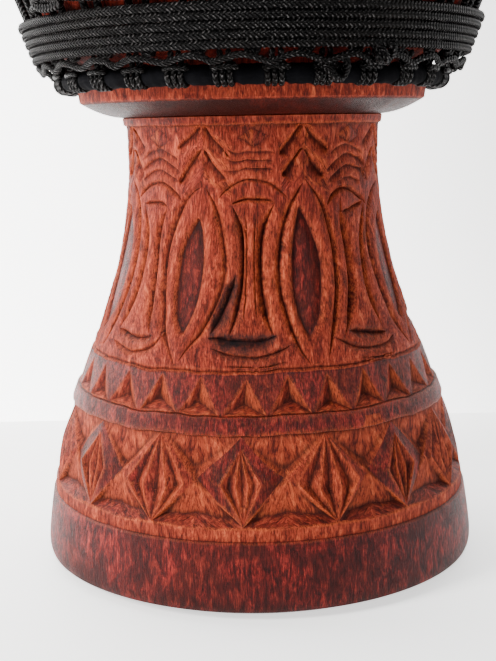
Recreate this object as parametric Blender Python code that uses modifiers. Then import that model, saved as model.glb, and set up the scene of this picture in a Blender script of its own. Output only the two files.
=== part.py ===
"""A djembe: a goblet drum carved from one log, with a goatskin head laced between two rings.

Metres, +Z up. The origin is on the floor, under the middle of the foot. Angles run round the drum
in degrees, from the side that faces -Y towards +X.
"""

import math

import bmesh
import bpy
from mathutils import Vector
from mathutils.geometry import delaunay_2d_cdt

# The foot and the stem, from the floor up. Each band of carving has its own height.
FOOT_RADIUS = 0.1335
FOOT_EDGE_ROUND = 0.004
BASE_BAND_HEIGHT = 0.043
BASE_BAND_TAPER = 0.0042
BASE_BAND_STEP = 0.0013
STRIP_HEIGHT = 0.007
DIAMOND_BAND_HEIGHT = 0.048
RAISED_BAND_HEIGHT = 0.010
RAISED_BAND_RELIEF = 0.0012
TRIANGLE_BAND_HEIGHT = 0.0215
PANEL_HEIGHT = 0.1025
CHEVRON_BAND_HEIGHT = 0.030
COLLAR_HEIGHT = 0.006
COLLAR_RELIEF = 0.001
WAIST_RADIUS = 0.0765
WAIST_BELOW_COLLAR = 0.019
FLARE_POWER = 0.84

# The ledge above the stem, the seat of the lower ring and the bowl.
RING_SEAT_RADIUS = 0.101
RING_SEAT_HEIGHT = 0.013
LEDGE_OVERHANG = 0.0025
LEDGE_UNDERSIDE_HEIGHT = 0.009
LEDGE_UNDERSIDE_POWER = 1.8
LEDGE_RIM_HEIGHT = 0.0055
LEDGE_RIM_LEAN = 0.001
LEDGE_BEVEL_HEIGHT = 0.0035
BOWL_HEIGHT = 0.301
HEAD_RADIUS = 0.168
BEARING_EDGE_ROUND = 0.005

# The hollow inside.
FOOT_WALL = 0.020
THROAT_WALL = 0.0265
THROAT_LENGTH = 0.060
BELL_POWER = 0.8
BOWL_WALL = 0.015

# The carving, as depths under the stem's own outline.
CELLS = 16
SECTORS = 4
TRIANGLES_ROUND = 28
SHALLOW_CUT = 0.0018
PANEL_CUT = 0.0035
RECESS_CUT = 0.0040
DIAMOND_FOLD = 0.0028
DIAMOND_PIT = 0.0045
TRIANGLE_PIT = 0.0042
ALMOND_HALF_ANGLE = 12.0
EYE_HALF_ANGLE = 6.0
GROOVE_HALF_ANGLE = 1.1
ALMOND_FULLNESS = 0.85
PANEL_PHASE = -2.0
TRIANGLE_PHASE = -3.4
DIAMOND_PHASE = -4.3

# The skin, rings and ropes.
FIT_GAP = 0.0006
SKIN_THICKNESS = 0.0015
SKIN_SKIRT = 0.058
HEM_RADIUS = 0.0045
ROPE_RADIUS = 0.00205
RING_TUBE_RADIUS = 0.0046
RING_CLEARANCE = 0.0011
RING_ABOVE_SEAT = 0.0022
WRAP_SLACK = 0.0011
CROWN_RING_DROP = 0.040
LOOPS = 28
LOOP_PHASE = -6.5
LOOP_HALF_SPREAD = 1.5
LOOP_RISE = 0.0115
LOOP_LEAN = 0.004
WOVEN_DIP = 0.0018
WOVEN_RISE = 0.001
WOVEN_LEAN = 0.0022
WOVEN_PHASE = -2.5
WINDING_TURNS = 6
LACING_FOOT_SPREAD = 1.3
LACING_FOOT_RISE = 0.0135
LACING_FOOT_LEAN = 0.0107
LACING_BELLY_HEIGHT = 0.076
LACING_CLEARANCE = 0.0006
LACING_TOP_DROP = 0.017

# How finely the round faces are divided: in each sector of the wood, and all round the other parts.
FOOT_STEPS = 11
BOWL_STEPS = 9
CAVITY_STEPS = 24
SKIN_STEPS = 36
WINDING_STEPS = 30
SHARP_STEP = 0.0003

CELL_ANGLE = 360 / CELLS
SECTOR_ANGLE = 360 / SECTORS
CELLS_PER_SECTOR = CELLS // SECTORS

STRIP_Z = BASE_BAND_HEIGHT
DIAMOND_Z = STRIP_Z + STRIP_HEIGHT
RAISED_Z = DIAMOND_Z + DIAMOND_BAND_HEIGHT
TRIANGLE_Z = RAISED_Z + RAISED_BAND_HEIGHT
PANEL_Z = TRIANGLE_Z + TRIANGLE_BAND_HEIGHT
CHEVRON_Z = PANEL_Z + PANEL_HEIGHT
COLLAR_Z = CHEVRON_Z + CHEVRON_BAND_HEIGHT
LEDGE_Z = COLLAR_Z + COLLAR_HEIGHT
RIM_Z = LEDGE_Z + LEDGE_UNDERSIDE_HEIGHT
BEVEL_Z = RIM_Z + LEDGE_RIM_HEIGHT
SEAT_Z = BEVEL_Z + LEDGE_BEVEL_HEIGHT
BOWL_Z = SEAT_Z + RING_SEAT_HEIGHT
TOP_Z = BOWL_Z + BOWL_HEIGHT
WAIST_Z = COLLAR_Z - WAIST_BELOW_COLLAR
FLARE_RADIUS = FOOT_RADIUS - BASE_BAND_TAPER - BASE_BAND_STEP
NECK_RADIUS = WAIST_RADIUS + COLLAR_RELIEF
LEDGE_RADIUS = RING_SEAT_RADIUS + LEDGE_OVERHANG


def swell(share):
    """A quarter of an ellipse: 0 at the foot of the bowl, 1 at its rim."""
    left = 1 - min(1.0, share)
    return math.sqrt(1 - left * left)


def outer_radius(z):
    """The outline of the turned wood, before any carving, at height z."""
    if z <= FOOT_EDGE_ROUND:
        back = 1 - z / FOOT_EDGE_ROUND
        return FOOT_RADIUS - FOOT_EDGE_ROUND * (1 - math.sqrt(max(0.0, 1 - back * back)))
    if z <= BASE_BAND_HEIGHT:
        return FOOT_RADIUS - BASE_BAND_TAPER * (z - FOOT_EDGE_ROUND) / (BASE_BAND_HEIGHT - FOOT_EDGE_ROUND)
    if z <= WAIST_Z:
        share = (z - BASE_BAND_HEIGHT) / (WAIST_Z - BASE_BAND_HEIGHT)
        return WAIST_RADIUS + (FLARE_RADIUS - WAIST_RADIUS) * (1 + math.cos(math.pi * share**FLARE_POWER)) / 2
    if z <= LEDGE_Z:
        return WAIST_RADIUS + COLLAR_RELIEF * ((z - WAIST_Z) / (LEDGE_Z - WAIST_Z)) ** 2
    if z <= RIM_Z:
        share = (z - LEDGE_Z) / LEDGE_UNDERSIDE_HEIGHT
        return NECK_RADIUS + (LEDGE_RADIUS - NECK_RADIUS) * share ** (1 / LEDGE_UNDERSIDE_POWER)
    if z <= BEVEL_Z:
        return LEDGE_RADIUS + LEDGE_RIM_LEAN * (z - RIM_Z) / LEDGE_RIM_HEIGHT
    if z <= SEAT_Z:
        rim = LEDGE_RADIUS + LEDGE_RIM_LEAN
        return rim + (RING_SEAT_RADIUS - rim) * (z - BEVEL_Z) / LEDGE_BEVEL_HEIGHT
    if z <= BOWL_Z:
        return RING_SEAT_RADIUS
    return RING_SEAT_RADIUS + (HEAD_RADIUS - RING_SEAT_RADIUS) * swell((z - BOWL_Z) / BOWL_HEIGHT)


def phase(z):
    """How far round the drum the carving at height z is turned: each band was set out by itself."""
    stops = [
        (RAISED_Z, DIAMOND_PHASE),
        (TRIANGLE_Z, TRIANGLE_PHASE),
        (PANEL_Z, PANEL_PHASE),
    ]
    if z <= stops[0][0]:
        return stops[0][1]
    for (low, first), (high, second) in zip(stops, stops[1:]):
        if z <= high:
            return first + (second - first) * (z - low) / (high - low)
    return stops[-1][1]


def on_drum(angle, radius, z):
    """The point at this angle in degrees, radius and height."""
    turn = math.radians(angle)
    return Vector((radius * math.sin(turn), -radius * math.cos(turn), z))


class Chart:
    """One sector of the wood's outside laid flat: lines of (angle, height, depth), later triangulated."""

    MM_PER_DEGREE = 1.8

    def __init__(self):
        self.points = []
        self.depths = []
        self.edges = []
        self.known = {}

    def add(self, angle, z, depth):
        key = (round(angle, 4), round(z, 6))
        if key not in self.known:
            self.known[key] = len(self.points)
            self.points.append(Vector((angle * self.MM_PER_DEGREE, z * 1000)))
            self.depths.append(depth)
        return self.known[key]

    def line(self, points):
        found = [self.add(*point) for point in points]
        self.edges += [(a, b) for a, b in zip(found, found[1:]) if a != b]

    def ring(self, z, count, depth=0.0):
        """A level line round the whole sector, in this many steps."""
        self.line([(SECTOR_ANGLE * i / count, z, depth) for i in range(count + 1)])

    def in_each_cell(self, points):
        """The same line in every cell, each cell the mirror image of the one before."""
        for cell in range(CELLS_PER_SECTOR):
            start = cell * CELL_ANGLE
            if cell % 2:
                self.line([(start + CELL_ANGLE - a, z, depth) for a, z, depth in points])
            else:
                self.line([(start + a, z, depth) for a, z, depth in points])

    def triangles(self):
        """(points as (angle, z, depth), faces) of the sector."""
        flat, _, faces, sources, _, _ = delaunay_2d_cdt(self.points, self.edges, [], 0, 1e-4)
        made = []
        for place, source in zip(flat, sources):
            if source:
                depth = self.depths[source[0]]
            else:
                near = min(range(len(self.points)), key=lambda i: (self.points[i] - place).length)
                depth = self.depths[near]
            made.append((place.x / self.MM_PER_DEGREE, place.y / 1000, depth))
        return made, faces


def lens_side(half_angle, low, high, steps):
    """(angle off the middle, height) down one side of an almond, tip to tip."""
    points = []
    for i in range(steps + 1):
        share = i / steps
        bow = math.sin(math.pi * share) ** ALMOND_FULLNESS if 0 < i < steps else 0.0
        points.append((half_angle * bow, low + (high - low) * share))
    return points


def hourglass_side(waist, waist_at, bottom, top, low, high, steps):
    """(angle off the middle, height) up one side of an hourglass, from its foot to its head."""
    points = []
    for i in range(steps + 1):
        share = i / steps
        if share < waist_at:
            angle = waist + (bottom - waist) * ((waist_at - share) / waist_at) ** 1.7
        else:
            angle = waist + (top - waist) * ((share - waist_at) / (1 - waist_at)) ** 1.7
        points.append((angle, low + (high - low) * share))
    return points


def chart_base(chart):
    """The plain band at the foot, with its rounded lower edge, and the strip above its step."""
    for z in (0.0, FOOT_EDGE_ROUND * 0.35, FOOT_EDGE_ROUND, STRIP_Z - SHARP_STEP):
        chart.ring(z, FOOT_STEPS)
    chart.ring(STRIP_Z + SHARP_STEP, FOOT_STEPS)


def chart_diamonds(chart):
    """Tall folded diamonds, tip to tip, with a sunk triangle above and below each joint."""
    top = RAISED_Z
    side_z = DIAMOND_Z + 0.54 * DIAMOND_BAND_HEIGHT
    middle = CELL_ANGLE / 2
    foot_z = DIAMOND_Z + 0.05 * DIAMOND_BAND_HEIGHT
    upper_pit = (middle, DIAMOND_Z + 0.66 * DIAMOND_BAND_HEIGHT, DIAMOND_PIT)
    side = (middle, side_z, SHALLOW_CUT / 4)
    fold = (middle * 0.48, side_z - 0.03 * DIAMOND_BAND_HEIGHT)
    half_diamond = [
        [(0, top, 0), side, (0, foot_z, 0)],
        [(0, top, 0), (*fold, DIAMOND_FOLD), (0, foot_z, 0)],
        [(0, top, 0), (0, side_z, 0), (0, foot_z, 0)],
        [(0, top, 0), upper_pit, side],
        [(0, foot_z, 0), (middle * 0.3, foot_z, DIAMOND_PIT), (middle, foot_z, DIAMOND_PIT)],
    ]
    for line in half_diamond:
        chart.in_each_cell(line)
        chart.in_each_cell([(CELL_ANGLE - angle, z, depth) for angle, z, depth in line])
    chart.in_each_cell([(0, top, 0), (middle, top, 0), (CELL_ANGLE, top, 0)])


def chart_raised_band(chart):
    """The plain band that stands proud between the diamonds and the small triangles."""
    per_sector = TRIANGLES_ROUND // SECTORS
    chart.ring(RAISED_Z + SHARP_STEP, 2 * CELLS_PER_SECTOR, -RAISED_BAND_RELIEF)
    chart.ring(TRIANGLE_Z - SHARP_STEP, 2 * per_sector, -RAISED_BAND_RELIEF)


def chart_triangles(chart):
    """A row of three-sided pits, point up, between flat triangles that point down."""
    per_sector = TRIANGLES_ROUND // SECTORS
    pitch = SECTOR_ANGLE / per_sector
    pit_z = TRIANGLE_Z + 0.28 * TRIANGLE_BAND_HEIGHT
    chart.ring(TRIANGLE_Z, 2 * per_sector)
    chart.ring(PANEL_Z, 2 * per_sector)
    for i in range(per_sector + 1):
        apex = (i * pitch, PANEL_Z, 0)
        pit = (i * pitch, pit_z, TRIANGLE_PIT)
        chart.line([apex, pit, (i * pitch, TRIANGLE_Z, 0)])
        for side in (-0.5, 0.5):
            corner = ((i + side) * pitch, TRIANGLE_Z, 0)
            if 0 <= corner[0] <= SECTOR_ANGLE:
                chart.line([apex, corner, pit])


def chart_panels(chart):
    """Almonds and hourglasses in turn, each in a flat frame, with a cut groove round it."""
    def at(share):
        return PANEL_Z + share * PANEL_HEIGHT

    half = CELL_ANGLE
    almond_low, almond_high = at(0.03), at(0.995)
    groove = lens_side(ALMOND_HALF_ANGLE, almond_low, almond_high, 7)
    lip = lens_side(ALMOND_HALF_ANGLE + GROOVE_HALF_ANGLE, almond_low, almond_high, 7)
    eye = lens_side(EYE_HALF_ANGLE, at(0.167), at(0.868), 5)
    chart.in_each_cell([(half - a, z, PANEL_CUT) for a, z in groove])
    chart.in_each_cell([(half - a, z, 0.0) for a, z in lip[1:-1]])
    chart.in_each_cell([(half - a, z, 0.0) for a, z in eye])

    recess = hourglass_side(4.4, 0.54, 10.0, 8.8, at(0.186), at(0.873), 5)
    floor = hourglass_side(3.5, 0.54, 8.8, 7.7, at(0.2), at(0.858), 4)
    column = hourglass_side(2.5, 0.66, 6.3, 6.8, at(0.235), at(0.845), 4)
    chart.in_each_cell([(0, at(0.122), 0.0), (5.4, at(0.137), 0.0)] + [(a, z, 0.0) for a, z in recess]
                       + [(4.6, at(0.905), 0.0), (0, at(0.917), 0.0)])
    chart.in_each_cell([(0, at(0.15), RECESS_CUT)] + [(a, z, RECESS_CUT) for a, z in floor]
                       + [(0, at(0.895), RECESS_CUT)])
    chart.in_each_cell([(0, at(0.228), SHALLOW_CUT)] + [(a, z, SHALLOW_CUT / 2) for a, z in column]
                       + [(0, at(0.868), SHALLOW_CUT)])

    arch = [(0, at(0.99)), (6, at(0.972)), (10.5, at(0.925))]
    chart.in_each_cell([(a, z, SHALLOW_CUT) for a, z in arch])
    sill = [(0, at(0.035)), (8, at(0.055)), (14, at(0.1))]
    chart.in_each_cell([(a, z, SHALLOW_CUT) for a, z in sill])


def chart_chevrons(chart):
    """Nested chevrons over each almond, level ribs over each hourglass, and a small diamond between."""
    def at(share):
        return CHEVRON_Z + share * CHEVRON_BAND_HEIGHT

    half = CELL_ANGLE
    arm_drop = 0.42
    knee = half - 12
    for apex, depth in ((1.0, 0.0), (0.83, 0.0), (0.63, SHALLOW_CUT), (0.45, 0.0), (0.26, SHALLOW_CUT)):
        peak = (half, at(apex), depth)
        elbow = (knee, at(apex - arm_drop), depth)
        chart.in_each_cell([peak, elbow, (0, at(apex - arm_drop + 0.03), depth)])
    chart.in_each_cell([(0, at(0.98), SHALLOW_CUT), (8, at(0.8), SHALLOW_CUT / 2), (0, at(0.63), SHALLOW_CUT)])
    chart.in_each_cell([(0, at(0.98), SHALLOW_CUT), (0, at(0.8), 0.0), (0, at(0.63), SHALLOW_CUT)])
    chart.ring(COLLAR_Z, FOOT_STEPS)
    chart.ring(COLLAR_Z + SHARP_STEP, FOOT_STEPS, -COLLAR_RELIEF)


def chart_upper_wood(chart):
    """The ledge, the ring's seat and the bowl, all plain."""
    for z in (LEDGE_Z, LEDGE_Z + 0.35 * LEDGE_UNDERSIDE_HEIGHT, RIM_Z, BEVEL_Z, SEAT_Z):
        chart.ring(z, BOWL_STEPS)
    for share in (0.0, 0.03, 0.12, 0.28, 0.52):
        chart.ring(BOWL_Z + share * BOWL_HEIGHT, BOWL_STEPS)
    chart.ring(TOP_Z - BEARING_EDGE_ROUND, BOWL_STEPS)
    chart.ring(TOP_Z, BOWL_STEPS, BEARING_EDGE_ROUND)


def new_object(name, mesh, collection):
    thing = bpy.data.objects.new(name, mesh)
    collection.objects.link(thing)
    return thing


def carved_outside(collection):
    """The wood as a solid block with its carved outside, flat at the floor and at the bearing edge."""
    chart = Chart()
    chart_base(chart)
    chart_diamonds(chart)
    chart_raised_band(chart)
    chart_triangles(chart)
    chart_panels(chart)
    chart_chevrons(chart)
    chart_upper_wood(chart)
    points, faces = chart.triangles()

    form = bmesh.new()
    for sector in range(SECTORS):
        verts = []
        for angle, z, depth in points:
            around = angle + sector * SECTOR_ANGLE + phase(z)
            verts.append(form.verts.new(on_drum(around, outer_radius(z) - depth, z)))
        for face in faces:
            form.faces.new([verts[i] for i in face])
    bmesh.ops.remove_doubles(form, verts=form.verts, dist=1e-5)
    rims = [edge for edge in form.edges if edge.is_boundary]
    bmesh.ops.edgeloop_fill(form, edges=rims)
    bmesh.ops.recalc_face_normals(form, faces=form.faces)
    mesh = bpy.data.meshes.new("shell")
    form.to_mesh(mesh)
    form.free()
    return new_object("shell", mesh, collection)


def turned(name, profile, steps, collection, closed=False):
    """A solid turned about the Z axis from (radius, z) pairs that run down its outer side."""
    form = bmesh.new()
    verts = [form.verts.new((radius, 0, z)) for radius, z in profile]
    for a, b in zip(verts, verts[1:]):
        form.edges.new((a, b))
    if closed:
        form.edges.new((verts[-1], verts[0]))
    mesh = bpy.data.meshes.new(name)
    form.to_mesh(mesh)
    form.free()
    thing = new_object(name, mesh, collection)
    screw = thing.modifiers.new("turn", "SCREW")
    screw.steps = screw.render_steps = steps
    screw.use_merge_vertices = True
    screw.merge_threshold = 1e-5
    screw.use_smooth_shade = True
    return thing


def cavity_profile():
    """(radius, z) of the hollow, from above the head down to below the floor: bowl, throat and bell."""
    over = 0.01
    mouth = FOOT_RADIUS - FOOT_WALL
    throat = WAIST_RADIUS - THROAT_WALL
    rim = HEAD_RADIUS - BOWL_WALL
    throat_high = SEAT_Z + RING_SEAT_HEIGHT
    throat_low = throat_high - THROAT_LENGTH
    profile = [(0.0, TOP_Z + over), (rim, TOP_Z + over)]
    for share in (0.6, 0.25, 0.07):
        profile.append((throat + (rim - throat) * swell(share), throat_high + share * (TOP_Z - throat_high)))
    profile.append((throat, throat_high))
    for share in (1.0, 0.75, 0.5, 0.2):
        bell = (1 + math.cos(math.pi * share**BELL_POWER)) / 2
        profile.append((throat + (mouth - throat) * bell, throat_low * share))
    profile += [(mouth, -over), (0.0, -over)]
    return profile


def cut(target, cutter):
    boolean = target.modifiers.new("hollow", "BOOLEAN")
    boolean.operation = "DIFFERENCE"
    boolean.solver = "EXACT"
    boolean.object = cutter
    cutter.hide_render = True
    cutter.display_type = "WIRE"


def make_shell(parts, cutters):
    shell = carved_outside(parts)
    cut(shell, turned("cavity", cavity_profile(), CAVITY_STEPS, cutters))
    return shell


def wrap_reach():
    """How far the middle of a rope runs from the middle of the ring that it is wrapped round."""
    return RING_TUBE_RADIUS + ROPE_RADIUS + WRAP_SLACK


def crown_ring_place():
    """(radius, z) of the middle of the crown ring's tube."""
    skin = HEAD_RADIUS + FIT_GAP + SKIN_THICKNESS
    return skin + RING_CLEARANCE + ROPE_RADIUS + wrap_reach(), TOP_Z - CROWN_RING_DROP


def lower_ring_place():
    """(radius, z) of the middle of the lower ring's tube."""
    return RING_SEAT_RADIUS + RING_CLEARANCE + ROPE_RADIUS + wrap_reach(), SEAT_Z + RING_ABOVE_SEAT


def make_ring(name, place, parts):
    """A steel hoop wrapped in black cloth, as one round tube."""
    bpy.ops.mesh.primitive_torus_add(
        major_segments=LOOPS,
        minor_segments=6,
        major_radius=place[0],
        minor_radius=RING_TUBE_RADIUS,
        location=(0, 0, place[1]),
        rotation=(0, 0, math.radians(LOOP_PHASE - 90)),
    )
    ring = bpy.context.object
    ring.name = ring.data.name = name
    for owner in list(ring.users_collection):
        owner.objects.unlink(ring)
    parts.objects.link(ring)
    return ring


def make_drumhead(parts):
    """The skin: flat over the bearing edge, down the bowl's side, and rolled up at its hem."""
    lift = TOP_Z + FIT_GAP
    inner = HEAD_RADIUS + FIT_GAP
    outer = inner + SKIN_THICKNESS
    hem_z = TOP_Z - SKIN_SKIRT
    profile = [
        (0.0, lift + SKIN_THICKNESS),
        (outer - BEARING_EDGE_ROUND, lift + SKIN_THICKNESS),
        (outer, lift + SKIN_THICKNESS - BEARING_EDGE_ROUND),
        (outer, hem_z + HEM_RADIUS),
        (inner + 2 * HEM_RADIUS, hem_z),
        (outer, hem_z - HEM_RADIUS),
        (inner, hem_z - HEM_RADIUS),
        (inner, lift - BEARING_EDGE_ROUND),
        (inner - BEARING_EDGE_ROUND, lift),
        (0.0, lift),
    ]
    return turned("drumhead", profile, SKIN_STEPS, parts)


def lacing_foot():
    radius, z = lower_ring_place()
    return radius + LACING_FOOT_LEAN, z + LACING_FOOT_RISE


def lacing_top():
    radius, z = crown_ring_place()
    return radius + ROPE_RADIUS, z - LACING_TOP_DROP


def lacing_belly():
    """(radius, z) of the bend in the lacing, far enough out for both its straight runs to clear the bowl."""
    belly_z = BOWL_Z + LACING_BELLY_HEIGHT
    radius = outer_radius(belly_z) + ROPE_RADIUS + LACING_CLEARANCE
    samples = 40
    for end_radius, end_z in (lacing_foot(), lacing_top()):
        for i in range(1, samples):
            z = end_z + (belly_z - end_z) * i / samples
            beside_bowl = outer_radius(z) + ROPE_RADIUS + LACING_CLEARANCE
            radius = max(radius, end_radius + (beside_bowl - end_radius) * samples / i)
    return radius, belly_z


def make_winding(parts):
    """The rope's long end, wound round the lacing, turn against turn, as one fluted band."""
    foot, belly = lacing_foot(), lacing_belly()
    along = math.dist(foot, belly)
    up = ((belly[0] - foot[0]) / along, (belly[1] - foot[1]) / along)
    pitch = 2 * ROPE_RADIUS
    inside = ROPE_RADIUS + 2 * FIT_GAP

    def place(turns, off):
        reach = turns * pitch - ROPE_RADIUS / 3
        return foot[0] + up[0] * reach + up[1] * off, foot[1] + up[1] * reach - up[0] * off

    profile = [place(WINDING_TURNS, inside + 0.6 * ROPE_RADIUS)]
    for i in reversed(range(WINDING_TURNS)):
        profile.append(place(i + 0.5, inside + 2 * ROPE_RADIUS))
        profile.append(place(i, inside + (1.2 if i else 0.6) * ROPE_RADIUS))
    profile += [place(0.2, inside), place(WINDING_TURNS - 0.2, inside)]
    return turned("rope_winding", profile, WINDING_STEPS, parts, closed=True)


def make_rope(name, points, parts):
    """A closed run of rope through these points."""
    curve = bpy.data.curves.new(name, "CURVE")
    curve.dimensions = "3D"
    curve.bevel_depth = ROPE_RADIUS
    curve.bevel_resolution = 0
    spline = curve.splines.new("POLY")
    spline.points.add(len(points) - 1)
    for slot, point in zip(spline.points, points):
        slot.co = (*point, 1)
    spline.use_cyclic_u = True
    return new_object(name, curve, parts)


def make_lacing(parts):
    """The tension rope: up and down between the two rings, as one closed run."""
    pitch = 360 / LOOPS
    points = []
    for i in range(LOOPS):
        middle = LOOP_PHASE + (i + 0.5) * pitch
        for side in (-1, 1):
            run = [
                on_drum(middle + side * LACING_FOOT_SPREAD, *lacing_foot()),
                on_drum(middle + side * pitch * 0.3, *lacing_belly()),
                on_drum(middle + side * (pitch / 2 - LACING_FOOT_SPREAD), *lacing_top()),
            ]
            points += reversed(run) if side < 0 else run
    return make_rope("lacing", points, parts)


def make_woven_rope(parts):
    """The start of the rope's long end, woven in a wave in front of the loops."""
    radius, z = lower_ring_place()
    pitch = 360 / LOOPS
    reach = wrap_reach() + 2 * ROPE_RADIUS + FIT_GAP
    points = []
    for i in range(LOOPS):
        angle = LOOP_PHASE + WOVEN_PHASE + i * pitch
        points.append(on_drum(angle, radius + reach, z + wrap_reach() - WOVEN_DIP))
        points.append(on_drum(angle + pitch / 2, radius + reach + WOVEN_LEAN, z + wrap_reach() + WOVEN_RISE))
    return make_rope("woven_rope", points, parts)


def make_loops(name, ring_place, way, parts):
    """One rope wrapped round the ring at every hitch, standing off it between (way is 1 up, -1 down)."""
    ring_radius, ring_z = ring_place
    pitch = 360 / LOOPS

    def round_ring(angle, bend):
        turn = math.radians(bend)
        reach = wrap_reach()
        return on_drum(angle, ring_radius + reach * math.cos(turn), ring_z - way * reach * math.sin(turn))

    points = []
    for i in range(LOOPS):
        angle = LOOP_PHASE + i * pitch
        points.append(round_ring(angle - LOOP_HALF_SPREAD, 0))
        points.append(round_ring(angle - LOOP_HALF_SPREAD / 3, 60))
        points.append(round_ring(angle + LOOP_HALF_SPREAD / 3, 120))
        points.append(round_ring(angle + LOOP_HALF_SPREAD, 180))
        points.append(round_ring(angle + 2 * LOOP_HALF_SPREAD, 240))
        points.append(on_drum(angle + pitch / 2, ring_radius + LOOP_LEAN, ring_z + way * LOOP_RISE))
    return make_rope(name, points, parts)


def material(name, colour, roughness, metallic=0.0):
    made = bpy.data.materials.new(name)
    made.use_nodes = True
    shader = made.node_tree.nodes["Principled BSDF"]
    shader.inputs["Base Color"].default_value = (*colour, 1)
    shader.inputs["Roughness"].default_value = roughness
    shader.inputs["Metallic"].default_value = metallic
    made.diffuse_color = (*colour, 1)
    return made


def main():
    for thing in list(bpy.data.objects):
        bpy.data.objects.remove(thing)
    parts = bpy.data.collections.new("djembe")
    cutters = bpy.data.collections.new("cutters")
    bpy.context.scene.collection.children.link(parts)
    bpy.context.scene.collection.children.link(cutters)

    wood = material("carved_wood", (0.36, 0.09, 0.045), 0.5)
    skin = material("goatskin", (0.78, 0.68, 0.50), 0.6)
    cloth = material("ring_cloth", (0.012, 0.012, 0.014), 0.9)
    rope = material("black_rope", (0.02, 0.02, 0.022), 0.6)

    make_shell(parts, cutters).data.materials.append(wood)
    make_drumhead(parts).data.materials.append(skin)
    make_ring("crown_ring", crown_ring_place(), parts).data.materials.append(cloth)
    make_ring("lower_ring", lower_ring_place(), parts).data.materials.append(cloth)
    make_loops("crown_loops", crown_ring_place(), -1, parts).data.materials.append(rope)
    make_loops("lower_loops", lower_ring_place(), 1, parts).data.materials.append(rope)
    make_lacing(parts).data.materials.append(rope)
    make_woven_rope(parts).data.materials.append(rope)
    make_winding(parts).data.materials.append(rope)


main()
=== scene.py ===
"""The looks of a djembe: carved wood, black braided rope, cloth-wrapped rings and a goatskin head.

Lengths are in millimetres until a mesh is made, which is in metres like the frame. Angles run round
the drum in degrees, from the side that faces -Y towards +X. +Z is up and the floor is at 0.
"""

import math
import random

import bpy
import numpy as np
from mathutils import Euler, Matrix, Vector, noise
from mathutils.bvhtree import BVHTree
from mathutils.geometry import delaunay_2d_cdt
from mathutils.kdtree import KDTree


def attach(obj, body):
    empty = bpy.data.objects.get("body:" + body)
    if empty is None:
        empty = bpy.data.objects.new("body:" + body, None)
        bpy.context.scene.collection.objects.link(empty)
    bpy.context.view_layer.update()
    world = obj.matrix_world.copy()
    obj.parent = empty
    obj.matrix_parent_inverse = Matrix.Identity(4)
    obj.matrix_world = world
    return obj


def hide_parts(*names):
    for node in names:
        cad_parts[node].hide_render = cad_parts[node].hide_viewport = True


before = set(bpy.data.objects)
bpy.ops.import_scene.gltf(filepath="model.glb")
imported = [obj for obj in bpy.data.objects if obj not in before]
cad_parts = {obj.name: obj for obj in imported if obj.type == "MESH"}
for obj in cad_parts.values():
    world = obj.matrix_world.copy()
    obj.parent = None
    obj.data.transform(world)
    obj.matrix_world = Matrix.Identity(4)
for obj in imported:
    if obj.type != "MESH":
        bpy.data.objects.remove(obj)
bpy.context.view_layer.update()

MM = 0.001

# The turned outline of the wood: the solids' outline, with its edges a little rounder.
FOOT_RADIUS = 133.5
FOOT_BEVEL = 5.0
FOOT_BEVEL_WIDTH = 10.5
FOOT_ROUND = 2.0
BASE_SWELL = 0.6
BASE_TAPER = 4.2
BASE_STEP = 1.3
STRIP_Z = 43.0
DIAMOND_Z = 50.0
RAISED_Z = 98.0
TRIANGLE_Z = 108.0
PANEL_Z = 129.5
CHEVRON_Z = 232.0
COLLAR_Z = 262.0
LEDGE_Z = 268.0
RIM_Z = 277.0
BEVEL_Z = 284.4
SEAT_Z = 286.4
BOWL_Z = 299.0
TOP_Z = 600.0
WAIST_Z = 243.0
WAIST_RADIUS = 76.5
FLARE_RADIUS = FOOT_RADIUS - BASE_TAPER - BASE_STEP
FLARE_POWER = 0.84
COLLAR_RELIEF = 1.0
RAISED_RELIEF = 1.2
LEDGE_RADIUS = 103.5
LEDGE_POWER = 1.8
RIM_LEAN = 1.0
SEAT_RADIUS = 101.0
HEAD_RADIUS = 168.0
BEARING_ROUND = 5.0
FOOT_WALL = 20.0
BOWL_WALL = 15.0
THROAT_RADIUS = 50.0
THROAT_LOW = 239.0
BELL_POWER = 0.8

# The rope and the rings, in their places on the solids. Some of the rope differs a little in thickness.
ROPE_RADIUS = 2.05
RING_TUBE = 4.6
RING_PRESSED = 3.3
HITCH_ROPE = 1.6
WAVE_ROPE = 1.75
HITCHES = 28
HITCH_PITCH = 360 / HITCHES
HITCH_PHASE = -6.5
LOWER_RING = (111.85, 288.2)
CROWN_RING = (180.95, 560.0)
LACING_FOOT = (122.6, 301.7)
LACING_BELLY = (150.8, 375.0)
LACING_TOP = (183.0, 543.0)
WINDING_OUT = 4.95
WINDING_TURNS = 5
WINDING_ROPE = 2.44

# The carved mesh: its points lie finely spaced up to this angle from the front, and coarsely behind.
FRONT = 84
FINE, COARSE = 1.2, 2.7
COLUMNS = 180
CHART_LOW = STRIP_Z + 0.4
SEAM = 180.0

# A groove's lips lie a little in, and half-way down its sides is a shoulder.
LIP = 0.3
GROOVE_SPREAD = 1.6
SHOULDER_OUT, SHOULDER_DEPTH = 0.62, 0.35

# How many times the ornament goes round.
DIAMONDS = 16
TRIANGLES = 28
ALMOND_COUNT = 8

# How strongly the floor and the wall glow, at the left and at the right.
FLOOR_GLOW = (1.25, 1.25)
WALL_GLOW = (4.8, 2.0)


def swell(share):
    """The bowl's curve: how far out it has come at this share of its height."""
    left = 1 - min(1.0, share)
    return math.sqrt(1 - left * left)


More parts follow.
